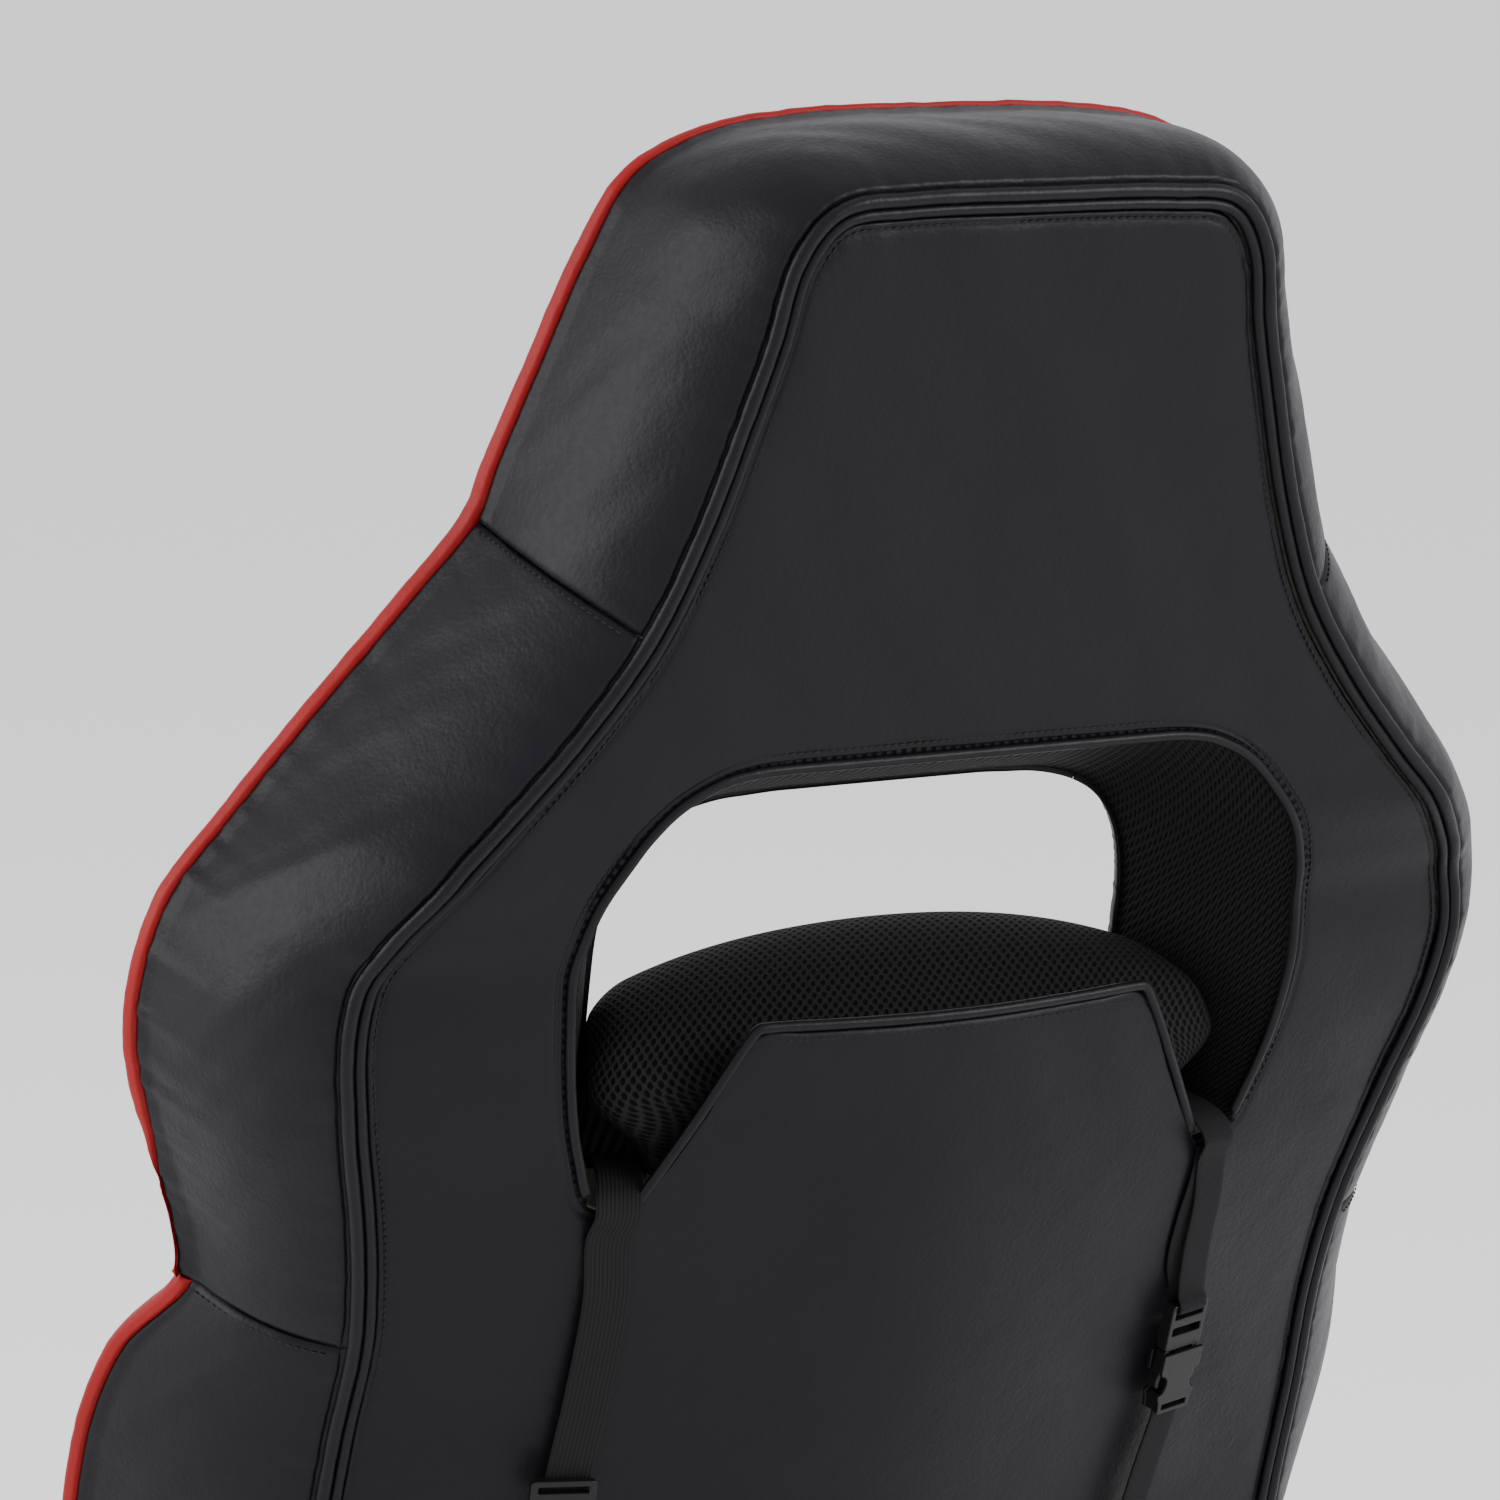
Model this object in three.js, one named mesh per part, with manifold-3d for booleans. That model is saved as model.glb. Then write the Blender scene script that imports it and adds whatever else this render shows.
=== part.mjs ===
// Racing seat: a reclining bucket back with an opening behind the shoulders, on a padded seat base.
// Millimetres, +Z up, the seat faces +Y. The origin is the middle of the base plate's underside.
import * as THREE from 'three';
import { mergeVertices } from 'three/addons/utils/BufferGeometryUtils.js';
import Module from 'manifold-3d';

const wasm = await Module();
wasm.setup();

// ---- driving dimensions ----------------------------------------------------------------------
const GAP = 0.3;                 // between two pieces that touch
const HINGE_Y = -245;            // recline axis, behind the origin
const HINGE_Z = 115;             // recline axis, above the base plate's underside
const RECLINE = 12.2;            // lean of the back at rest, degrees
const HINGE_DEPTH = 52;          // recline axis, in front of the back's rear plane
const PANEL_T = 6;               // rear panel: board and leather
const GUSSET_T = 5;              // side gussets: leather on thin foam
const COVER_T = 6;               // front cover
const LINER_T = 3;               // spacer mesh in the opening
const PIPE_INNER_D = 4.4;        // piping next to the panel
const PIPE_OUTER_D = 5.4;        // piping next to the gusset
const RIM_PIPE_D = 4.2;          // single piping round the opening and the tongue
const BORDER_W = 0.2;            // red border's share of the front's width
const FRAME_D = 22;              // back frame tube
const BACK_TUBE_X = 183;         // frame legs, from the middle
const SEAT_HALF = 240;           // half the upholstered seat's width
const SEAT_REAR = -186;
const SEAT_FRONT = 275;
const SEAT_TOP = 112;            // crown of the middle cushion
const BOLSTER_TOP = 150;
const CENTRE_HALF = 150;         // half the middle cushion's width
const BOARD_T = 12;
const PLATE_T = 6;
const PLATE = 400;               // base plate, square
const HOLE_D = 8.5;              // fixing holes in the base plate
const HOLE_PITCH = 330;
const ARM_T = 5;                 // steel arms and brackets
const BACK_HALF_LOW = SEAT_HALF - 4;   // half the back's width between the arms
const BOLT_D = 10;
const STRAP_LEFT_W = 18;
const STRAP_RIGHT_W = 15;
const STRAP_T = 1.6;
const BUCKLE_W = 22;
const BUCKLE_T = 9;
const SLIDER_W = 26;
const SLIDER_H = 14;
const PILLOW = [300, 62, 170];   // lumbar pillow: width, thickness, height

// ---- colours ---------------------------------------------------------------------------------
const BLACK_LEATHER = { color: 0x2a282c, roughness: 0.5, metalness: 0 };
const RED_LEATHER = { color: 0x8e1c1c, roughness: 0.5, metalness: 0 };
const MESH = { color: 0x0f0f11, roughness: 0.9, metalness: 0 };
const FOAM = { color: 0x8d8a82, roughness: 1, metalness: 0 };
const WEBBING = { color: 0x222224, roughness: 0.85, metalness: 0 };
const PLASTIC = { color: 0x141416, roughness: 0.45, metalness: 0 };
const STEEL = { color: 0x1c1c1e, roughness: 0.5, metalness: 0.8 };
const ZINC = { color: 0xb4b6b8, roughness: 0.35, metalness: 1 };
const PLYWOOD = { color: 0xb08a5a, roughness: 0.8, metalness: 0 };

// ---- the back's outline ----------------------------------------------------------------------
// One row for each place down one side, from the top to the bottom. Heights are above the recline
// axis and depths are in front of the rear plane.
// edge: rear panel's edge [half width, height]        front: front edge [half width, height, depth]
// rim: opening at the rear [half width, height]       mouth: opening at the front
const ROWS = [
  { edge: [0, 742.5], front: [0, 761, 88], rim: [0, 537], mouth: [0, 496] },
  { edge: [55, 742], front: [58, 760, 88], rim: [15, 537], mouth: [18, 496] },
  { edge: [80, 739], front: [97, 754, 88], rim: [30, 537], mouth: [34, 496] },
  { edge: [91, 725], front: [126, 739, 88], rim: [42, 537], mouth: [46, 496] },
  { edge: [97.5, 696], front: [143, 709, 88], rim: [54, 537], mouth: [57, 495.5] },
  { edge: [105.5, 668], front: [158, 669, 88], rim: [66, 537], mouth: [68, 495] },
  { edge: [118.5, 626], front: [172, 631, 88], rim: [79, 537], mouth: [79, 493] },
  { edge: [136, 585], front: [178, 611, 89], rim: [92, 536.5], mouth: [88, 490] },
  { edge: [161, 549], front: [200, 579, 93], rim: [106, 534], mouth: [97, 485] },
  { edge: [188, 518], front: [236, 531, 98], rim: [124, 525], mouth: [104, 478] },
  { edge: [211, 493], front: [262, 495, 101], rim: [140, 509], mouth: [110, 468] },
  { edge: [228, 466], front: [284, 464, 102], rim: [152, 491], mouth: [113.5, 457] },
  { edge: [234.5, 440], front: [293.5, 425, 102], rim: [159, 466], mouth: [115.5, 444] },
  { edge: [231, 405], front: [291, 393, 102], rim: [160, 438], mouth: [116, 426] },
  { edge: [222, 365], front: [280, 360, 100], rim: [156, 405], mouth: [116, 406] },
  { edge: [215.5, 330], front: [270, 331, 97], rim: [150, 382], mouth: [116, 384] },
  { edge: [212.5, 301], front: [268, 309, 96], rim: [142, 363], mouth: [114, 366] },
  { edge: [214, 255], front: [284, 270, 120], rim: [128, 358], mouth: [106, 358] },
  { edge: [215.5, 215], front: [292, 220, 132], rim: [112, 358], mouth: [92, 358] },
  { edge: [213, 160], front: [286, 165, 136], rim: [95, 358], mouth: [76, 358] },
  { edge: [210, 112], front: [228, 112, 118], rim: [75, 358], mouth: [60, 358] },
  { edge: [208, 50], front: [222, 45, 104], rim: [55, 358], mouth: [45, 358] },
  { edge: [200, -8], front: [214, -10, 97], rim: [38, 358], mouth: [31, 358] },
  { edge: [150, -26], front: [165, -34, 97], rim: [20, 358], mouth: [16, 358] },
  { edge: [0, -28], front: [0, -36, 97], rim: [0, 358], mouth: [0, 358] },
];
const MOUTH_DEPTH = 74;
const NECK_ROW = 7;              // the head gusset ends here
const NOTCH_ROW = 16;            // the opening's lower corner, and the waist seam
const LAST_ROW = ROWS.length - 1;
// the tongue of the rear panel, from the opening's lower corner to the middle
const TONGUE = [[142, 363], [122, 359], [109, 383], [97, 407], [84, 431], [63, 432], [42, 432], [21, 432], [0, 432]];

// depth of the rear surface: a flat head, and below it wings that turn forward from a round spine
const SPINE = [[770, 0], [515, 0], [465, -9], [431, -14], [365, -13.5], [305, -10], [235, -3], [155, 6], [55, 10], [-60, 8]];
const WING = [[770, 0], [505, 0], [478, 13], [455, 24], [412, 27], [365, 35.5], [314, 44], [255, 50], [155, 44], [70, 22], [-60, 10]];
const SPINE_ROUND = 40;
const WING_AT = 230;

/** Value at height h from a list of [height, value] with falling heights, smooth and never overshooting. */
function along(list, h) {
  if (h >= list[0][0]) return list[0][1];
  const last = list.length - 1;
  if (h <= list[last][0]) return list[last][1];
  const i = list.findIndex((entry) => h >= entry[0]);
  const rise = (j) => (j < 1 || j > last ? 0 : (list[j][1] - list[j - 1][1]) / (list[j][0] - list[j - 1][0]));
  const tangent = (j) => (rise(j) * rise(j + 1) > 0 ? 2 * rise(j) * rise(j + 1) / (rise(j) + rise(j + 1)) : 0);
  const length = list[i][0] - list[i - 1][0];
  const t = (h - list[i - 1][0]) / length;
  const ease = t * t * (3 - 2 * t);
  return THREE.MathUtils.lerp(list[i - 1][1], list[i][1], ease)
    + length * t * (1 - t) * ((1 - t) * tangent(i - 1) - t * tangent(i));
}

function rearDepth(x, h) {
  const reach = (Math.hypot(x, SPINE_ROUND) - SPINE_ROUND) / (Math.hypot(WING_AT, SPINE_ROUND) - SPINE_ROUND);
  return along(SPINE, h) + along(WING, h) * reach;
}
/** How fast the rear surface turns forward with x. */
const slopeAcross = (x, h) => (rearDepth(x + 8, h) - rearDepth(x - 8, h)) / 16;
/** How fast the rear surface goes forward with height. */
const slopeUp = (x, h) => (rearDepth(x, h + 20) - rearDepth(x, h - 20)) / 40;

/** Closed smooth loop through one entry of every row, down the +X side and up the -X side. */
function outline(pick) {
  const right = ROWS.map((row, i) => new THREE.Vector3(...pick(row, i)));
  const left = right.slice(1, -1).reverse().map((p) => new THREE.Vector3(-p.x, p.y, p.z));
  return new THREE.CatmullRomCurve3([...right, ...left], true, 'centripetal');
}
const flat = (p) => [p[0], 0, p[1]];
const EDGE = outline((row) => flat(row.edge));
const FRONT = outline((row) => [row.front[0], row.front[2], row.front[1]]);
const RIM = outline((row) => flat(row.rim));
const MOUTH = outline((row) => flat(row.mouth));
const PANEL_HOLE = outline((row, i) => flat(i < NOTCH_ROW ? row.rim : TONGUE[i - NOTCH_ROW]));

const LOOP = 2 * LAST_ROW;       // rows round the whole loop
const at = (curve, k) => curve.getPoint((((k % LOOP) + LOOP) % LOOP) / LOOP);

/** Outward direction of a loop in the plane of the back. */
function outward(curve, k) {
  const a = at(curve, k - 0.25);
  const b = at(curve, k + 0.25);
  return new THREE.Vector3(a.z - b.z, 0, b.x - a.x).normalize();
}

const BAND = PIPE_INNER_D + PIPE_OUTER_D;      // width of the double piping

// Each face of the back is a function of k, the row round the loop, and v, across the face from 0
// to 1. inset moves it towards the foam.
function rearFace(hole, k, v, inset, hem = 0) {
  const a = at(hole, k);
  const b = at(EDGE, k).addScaledVector(outward(EDGE, k), -hem);
  const p = a.lerp(b, v);
  p.y = rearDepth(p.x, p.z) + inset;
  return p;
}

function sideFace(k, v, inset) {
  const n = outward(EDGE, k);
  const a = at(EDGE, k).addScaledVector(n, BAND);
  a.y = rearDepth(a.x, a.z);
  const b = at(FRONT, k);
  const roll = 9 * Math.sin(Math.PI * Math.min(1, v * 1.15) ** 0.7);
  return a.lerp(b, v).addScaledVector(n, roll - inset);
}

function frontFace(k, v, inset) {
  const a = at(FRONT, k);
  const b = at(MOUTH, k);
  b.y = MOUTH_DEPTH;
  const crown = 14 * Math.sin(Math.PI * v ** 0.6);
  const p = a.lerp(b, v);
  p.y += crown - inset;
  return p;
}

function tunnelFace(k, v, inset) {
  const a = at(MOUTH, k);
  a.y = MOUTH_DEPTH;
  const b = at(RIM, k);
  b.y = rearDepth(b.x, b.z);
  return a.lerp(b, v).addScaledVector(outward(RIM, k), inset);
}

// ---- making solids ---------------------------------------------------------------------------
/** A geometry from points and triangles, turned inside out if its volume comes out negative. */
function geometry(points, triangles) {
  let volume = 0;
  for (let i = 0; i < triangles.length; i += 3) {
    const [a, b, c] = [0, 1, 2].map((j) => points[triangles[i + j]]);
    volume += a.dot(b.clone().cross(c));
  }
  const faces = volume < 0 ? triangles.slice().reverse() : triangles;
  const made = new THREE.BufferGeometry();
  made.setAttribute('position', new THREE.Float32BufferAttribute(points.flatMap((p) => p.toArray()), 3));
  made.setIndex(faces);
  return made;
}

/** A closed wall between two faces: outer(s, v) and inner(s, v), each a point for s and v in 0..1. */
function wall(outer, inner, ns, nv, closed = false) {
  const points = [];
  const triangles = [];
  const rows = closed ? ns : ns + 1;
  for (const face of [outer, inner]) {
    for (let i = 0; i < rows; i++) {
      for (let j = 0; j <= nv; j++) points.push(face(i / ns, j / nv));
    }
  }
  const id = (side, i, j) => side * rows * (nv + 1) + (i % rows) * (nv + 1) + j;
  const quad = (a, b, c, d) => triangles.push(a, b, c, a, c, d);
  for (let i = 0; i < ns; i++) {
    for (let j = 0; j < nv; j++) {
      quad(id(0, i, j), id(0, i + 1, j), id(0, i + 1, j + 1), id(0, i, j + 1));
      quad(id(1, i, j), id(1, i, j + 1), id(1, i + 1, j + 1), id(1, i + 1, j));
    }
    quad(id(0, i, 0), id(1, i, 0), id(1, i + 1, 0), id(0, i + 1, 0));
    quad(id(0, i, nv), id(0, i + 1, nv), id(1, i + 1, nv), id(1, i, nv));
  }
  for (let j = 0; j < nv && !closed; j++) {
    quad(id(0, 0, j), id(0, 0, j + 1), id(1, 0, j + 1), id(1, 0, j));
    quad(id(0, ns, j), id(1, ns, j), id(1, ns, j + 1), id(0, ns, j + 1));
  }
  return geometry(points, triangles);
}

/** A ring whose closed section is section(s, t): both run round in 0..1. */
function torus(section, ns, nt) {
  const points = [];
  const triangles = [];
  for (let i = 0; i < ns; i++) {
    for (let j = 0; j < nt; j++) points.push(section(i / ns, j / nt));
  }
  const id = (i, j) => (i % ns) * nt + (j % nt);
  for (let i = 0; i < ns; i++) {
    for (let j = 0; j < nt; j++) {
      triangles.push(id(i, j), id(i + 1, j), id(i + 1, j + 1));
      triangles.push(id(i, j), id(i + 1, j + 1), id(i, j + 1));
    }
  }
  return geometry(points, triangles);
}

/** A closed body from rings of equal length, with a fan over each end. */
function loft(rings) {
  const n = rings[0].length;
  const points = rings.flat();
  const triangles = [];
  const id = (i, j) => i * n + (j % n);
  for (let i = 0; i < rings.length - 1; i++) {
    for (let j = 0; j < n; j++) {
      triangles.push(id(i, j), id(i + 1, j), id(i + 1, j + 1));
      triangles.push(id(i, j), id(i + 1, j + 1), id(i, j + 1));
    }
  }
  const last = rings.length - 1;
  for (const end of [0, last]) {
    const middle = rings[end].reduce((sum, p) => sum.add(p), new THREE.Vector3()).divideScalar(n);
    const m = points.push(middle) - 1;
    for (let j = 0; j < n; j++) {
      if (end === 0) triangles.push(m, id(end, j), id(end, j + 1));
      else triangles.push(m, id(end, j + 1), id(end, j));
    }
  }
  return geometry(points, triangles);
}

/** A round tube along points, made as an extrusion. */
function tube(points, diameter, steps, sides = 8, smooth = true) {
  const section = new THREE.Shape(new THREE.EllipseCurve(0, 0, diameter / 2, diameter / 2).getPoints(sides).slice(0, -1));
  let path = new THREE.CurvePath();
  if (smooth) path = new THREE.CatmullRomCurve3(points, false, 'centripetal');
  else points.slice(1).forEach((p, i) => path.add(new THREE.LineCurve3(points[i], p)));
  return new THREE.ExtrudeGeometry(section, { steps, extrudePath: path, bevelEnabled: false });
}

/** A round cord through points, with one ring at each. */
function cord(points, diameter, normal = new THREE.Vector3(0, 1, 0), sides = 6) {
  const rings = points.map((p, i) => {
    const before = points[Math.max(0, i - 1)];
    const after = points[Math.min(points.length - 1, i + 1)];
    const forward = after.clone().sub(before).normalize();
    const across = new THREE.Vector3().crossVectors(forward, normal).normalize();
    const up = new THREE.Vector3().crossVectors(across, forward);
    return Array.from({ length: sides }, (_, j) => {
      const angle = 2 * Math.PI * (j + 0.5) / sides;
      const point = p.clone().addScaledVector(across, Math.cos(angle) * diameter / 2);
      return point.addScaledVector(up, Math.sin(angle) * diameter / 2);
    });
  });
  return loft(rings);
}

/** A flat strap along [x, depth, height, a, b], its width lying along (1, a, b) at each place. */
function strap(route, width, thickness, steps) {
  const path = new THREE.CatmullRomCurve3(route.map((p) => new THREE.Vector3(p[0], p[1], p[2])), false, 'centripetal');
  const sides = route.map((p) => new THREE.Vector3(1, p[3] ?? 0, p[4] ?? 0));
  const rings = [];
  for (let i = 0; i <= steps; i++) {
    const p = path.getPoint(i / steps);
    const forward = path.getTangent(i / steps);
    const place = (i / steps) * (route.length - 1);
    const from = Math.min(route.length - 2, Math.floor(place));
    const side = sides[from].clone().lerp(sides[from + 1], place - from);
    side.addScaledVector(forward, -side.dot(forward)).normalize();
    const up = new THREE.Vector3().crossVectors(forward, side).normalize();
    const corner = (a, b) => p.clone().addScaledVector(side, a * width / 2).addScaledVector(up, b * thickness / 2);
    rings.push([corner(-1, -1), corner(1, -1), corner(1, 1), corner(-1, 1)]);
  }
  return loft(rings);
}

function box(x0, x1, y0, y1, z0, z1) {
  return new THREE.BoxGeometry(x1 - x0, y1 - y0, z1 - z0).translate((x0 + x1) / 2, (y0 + y1) / 2, (z0 + z1) / 2);
}

function cylinderX(x0, x1, y, z, diameter, sides = 24) {
  const made = new THREE.CylinderGeometry(diameter / 2, diameter / 2, Math.abs(x1 - x0), sides);
  return made.rotateZ(Math.PI / 2).translate((x0 + x1) / 2, y, z);
}

function cylinderZ(x, y, z0, z1, diameter, sides = 16) {
  const made = new THREE.CylinderGeometry(diameter / 2, diameter / 2, z1 - z0, sides);
  return made.rotateX(Math.PI / 2).translate(x, y, (z0 + z1) / 2);
}

function solid(made) {
  const bare = made.clone();
  for (const name of ['normal', 'uv']) if (bare.getAttribute(name)) bare.deleteAttribute(name);
  const merged = mergeVertices(bare, 1e-4);
  const vertProperties = new Float32Array(merged.getAttribute('position').array);
  const triVerts = new Uint32Array(merged.getIndex().array);
  return new wasm.Manifold(new wasm.Mesh({ numProp: 3, vertProperties, triVerts }));
}

function fromSolid(manifold) {
  const mesh = manifold.getMesh();
  const made = new THREE.BufferGeometry();
  made.setAttribute('position', new THREE.BufferAttribute(mesh.vertProperties, 3));
  made.setIndex(new THREE.BufferAttribute(mesh.triVerts, 1));
  return made;
}

/** One geometry less the others. */
const cut = (made, ...tools) => fromSolid(tools.reduce((sum, tool) => sum.subtract(solid(tool)), solid(made)));
/** Geometries joined into one. */
const join = (...parts) => fromSolid(parts.slice(1).reduce((sum, part) => sum.add(solid(part)), solid(parts[0])));

// ---- groups ----------------------------------------------------------------------------------
const group = new THREE.Group();
const back = new THREE.Group();   // local axes: x, depth in front of the recline axis, height above it
back.position.set(0, HINGE_Y, HINGE_Z);
back.rotation.x = THREE.MathUtils.degToRad(RECLINE);
group.add(back);

function add(parent, name, made, look) {
  const mesh = new THREE.Mesh(made, new THREE.MeshStandardMaterial(look));
  mesh.name = name;
  if (parent === back) made.translate(0, -HINGE_DEPTH, 0);
  parent.add(mesh);
  return mesh;
}

// ---- back: frame and foam --------------------------------------------------------------------
const FRAME_DEPTH = 63;
const LEG_FOOT = -8;
const HOOP = [[BACK_TUBE_X, LEG_FOOT], [BACK_TUBE_X, 200], [BACK_TUBE_X + 10, 330], [206, 430], [190, 480], [140, 545],
  [116, 590], [104, 650], [84, 700], [40, 716]];
const hoopPath = [
  ...HOOP.map(([x, h]) => new THREE.Vector3(-x, FRAME_DEPTH, h)),
  new THREE.Vector3(0, FRAME_DEPTH, 718),
  ...HOOP.slice().reverse().map(([x, h]) => new THREE.Vector3(x, FRAME_DEPTH, h)),
];
const HOOP_STEPS = 32;
const TUBE_WALL = 1.8;
const CROSS_HEIGHT = 325;
const CROSS_DEPTH = 46;
const PIVOT_TUBE_D = 26;
/** Tubes of the back frame, each extra wider across. */
function frameTubes(extra) {
  return [
    tube(hoopPath, FRAME_D + extra, HOOP_STEPS, 8),
    cylinderX(-BACK_TUBE_X - 8, BACK_TUBE_X + 8, CROSS_DEPTH, CROSS_HEIGHT, FRAME_D + extra, 12),
    cylinderX(-BACK_HALF_LOW - 0.7 - extra, BACK_HALF_LOW + 0.7 + extra, HINGE_DEPTH, 0, PIVOT_TUBE_D + extra, 12),
  ];
}
const legHoles = [-1, 1].map((side) => cylinderZ(side * BACK_TUBE_X, FRAME_DEPTH, -80, 20, FRAME_D + 2 * GAP, 8));
const openEnd = (p) => p.clone().setZ(LEG_FOOT - 30);
const borePath = [openEnd(hoopPath[0]), ...hoopPath, openEnd(hoopPath[hoopPath.length - 1])];
const hoopBore = tube(borePath, FRAME_D - 2 * TUBE_WALL, HOOP_STEPS + 2, 8);
const pivotBore = cylinderX(-BACK_HALF_LOW - 5, BACK_HALF_LOW + 5, HINGE_DEPTH, 0, PIVOT_TUBE_D - 2 * TUBE_WALL, 12);
add(back, 'back_frame', cut(join(...frameTubes(0)), hoopBore, pivotBore), STEEL);

const ARM_BOLT_H = 75;
const ARM_BOLT_D = 8;
const armBoltHole = cylinderX(-BACK_HALF_LOW - 20, BACK_HALF_LOW + 20, FRAME_DEPTH, ARM_BOLT_H, ARM_BOLT_D + 2 * GAP, 12);
const pivotHole = cylinderX(-BACK_HALF_LOW - 20, BACK_HALF_LOW + 20, HINGE_DEPTH, 0, PIVOT_TUBE_D + 2 * GAP, 12);
const WADDING = 4;               // soft layer between the foam and its covers

/** Section of the foam: rear, side, front and tunnel in turn, a little inside the covers. */
function foamSection(s, t) {
  const k = s * LOOP;
  const part = Math.floor(t * 4);
  const share = t * 4 - part;
  const front = at(FRONT, k);
  const mouth = at(MOUTH, k).setY(MOUTH_DEPTH);
  const span = (length, first, last) => THREE.MathUtils.lerp((first + WADDING) / length, 1 - (last + WADDING) / length, share);
  if (part === 0) {
    const width = at(EDGE, k).distanceTo(at(RIM, k));
    return rearFace(RIM, k, span(width, LINER_T, 0), PANEL_T + WADDING + 1);
  }
  if (part === 1) {
    const edge = at(EDGE, k);
    return sideFace(k, span(front.y - rearDepth(edge.x, edge.z), PANEL_T, COVER_T), GUSSET_T + 2 * WADDING);
  }
  if (part === 2) return frontFace(k, span(front.distanceTo(mouth), GUSSET_T + 2 * WADDING, LINER_T), COVER_T + WADDING);
  const rim = at(RIM, k);
  return tunnelFace(k, span(MOUTH_DEPTH - rearDepth(rim.x, rim.z), COVER_T, PANEL_T), LINER_T + WADDING);
}
const channel = join(...frameTubes(2 * GAP), ...legHoles);
add(back, 'back_foam', cut(torus(foamSection, LOOP, 16), channel, armBoltHole), FOAM);

// ---- back: covers ----------------------------------------------------------------------------
const between = (k0, k1) => (s) => THREE.MathUtils.lerp(k0, k1, s);
const HEM = 0.4;                 // panel's edge to the piping
add(back, 'rear_panel', wall(
  (s, v) => rearFace(PANEL_HOLE, s * LOOP, v, 0, HEM),
  (s, v) => rearFace(PANEL_HOLE, s * LOOP, v, PANEL_T, HEM), LOOP, 8, true), BLACK_LEATHER);

const SEAM = 0.02;               // half a seam's gap, in rows
const GUSSET_FROM = 0.06;        // the gusset's share of the side, clear of the piping and the border
const GUSSET_TO = 0.89;
const RIGHT = [NECK_ROW, NOTCH_ROW, LAST_ROW];
const LEFT = RIGHT.map((k) => LOOP - k);
const gussets = [
  ['gusset_head', -NECK_ROW, NECK_ROW, 2 * NECK_ROW],
  ['gusset_shoulder_right', RIGHT[0], RIGHT[1], RIGHT[1] - RIGHT[0]],
  ['gusset_waist_right', RIGHT[1], RIGHT[2], RIGHT[2] - RIGHT[1]],
  ['gusset_waist_left', LEFT[2], LEFT[1], LEFT[1] - LEFT[2]],
  ['gusset_shoulder_left', LEFT[1], LEFT[0], LEFT[0] - LEFT[1]],
];
for (const [name, k0, k1, steps] of gussets) {
  const k = between(k0 + SEAM, k1 - SEAM);
  const v = between(GUSSET_FROM, GUSSET_TO);
  const made = wall((s, t) => sideFace(k(s), v(t), 0), (s, t) => sideFace(k(s), v(t), GUSSET_T), steps, 4);
  add(back, name, name.includes('waist') ? cut(made, pivotHole, armBoltHole) : made, BLACK_LEATHER);
}

/** Front covers: a piece of the front face between two rows and two shares of the width. */
function frontPiece(name, k0, k1, v0, v1, look) {
  const k = between(k0 + SEAM, k1 - SEAM);
  const v = between(v0, v1);
  const face = (inset) => (s, t) => frontFace(k(s), v(t), inset);
  add(back, name, wall(face(0), face(COVER_T), k1 - k0, 3), look);
}
const FRONT_SEAM = 0.005;
frontPiece('red_border_upper', -NOTCH_ROW, NOTCH_ROW, 0, BORDER_W - FRONT_SEAM, RED_LEATHER);
frontPiece('red_border_lower_right', RIGHT[1], RIGHT[2], 0, BORDER_W - FRONT_SEAM, RED_LEATHER);
frontPiece('red_border_lower_left', LEFT[2], LEFT[1], 0, BORDER_W - FRONT_SEAM, RED_LEATHER);
frontPiece('front_head_cover', -NECK_ROW, NECK_ROW, BORDER_W + FRONT_SEAM, 1, BLACK_LEATHER);
frontPiece('front_shoulder_cover_right', RIGHT[0], RIGHT[1], BORDER_W + FRONT_SEAM, 1, BLACK_LEATHER);
frontPiece('front_shoulder_cover_left', LEFT[1], LEFT[0], BORDER_W + FRONT_SEAM, 1, BLACK_LEATHER);
frontPiece('front_lumbar_cover', RIGHT[1], LEFT[1], BORDER_W + FRONT_SEAM, 1, BLACK_LEATHER);

/** Mesh lining of the opening, between the front cover and the rear panel. */
function linerFace(inset) {
  return (s, t) => {
    const k = THREE.MathUtils.lerp(-NOTCH_ROW, NOTCH_ROW, s);
    const rim = at(RIM, k);
    const depthRange = MOUTH_DEPTH - rearDepth(rim.x, rim.z);
    const v = THREE.MathUtils.lerp((COVER_T + GAP) / depthRange, 1 - (PANEL_T + GAP) / depthRange, t);
    return tunnelFace(k, v, inset);
  };
}
add(back, 'opening_liner', wall(linerFace(0), linerFace(LINER_T), 2 * NOTCH_ROW, 3), MESH);

// ---- back: piping ----------------------------------------------------------------------------
const PIPE_SINK = 0.5;           // piping's middle, in front of the rear surface
const PIPE_EASE = 0.4;           // how much thinner the cords are drawn than their seams allow
/** Points beside a loop from row -last to row last, one for each row and one at each end. */
function beside(curve, last, offset) {
  const whole = Math.floor(last);
  const places = [-last, ...Array.from({ length: 2 * whole + 1 }, (_, i) => i - whole), last];
  return places.map((k) => {
    const p = at(curve, k).addScaledVector(outward(curve, k), offset);
    return p.setY(rearDepth(p.x, p.z) + PIPE_SINK);
  });
}
const PIPE_END = LAST_ROW - 0.1;
const innerPath = beside(EDGE, PIPE_END, PIPE_INNER_D / 2 + PIPE_EASE / 2);
const outerPath = beside(EDGE, PIPE_END, PIPE_INNER_D + PIPE_OUTER_D / 2 + PIPE_EASE);
add(back, 'piping_inner', cord(innerPath, PIPE_INNER_D - PIPE_EASE), BLACK_LEATHER);
add(back, 'piping_outer', cord(outerPath, PIPE_OUTER_D - PIPE_EASE), BLACK_LEATHER);
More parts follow.
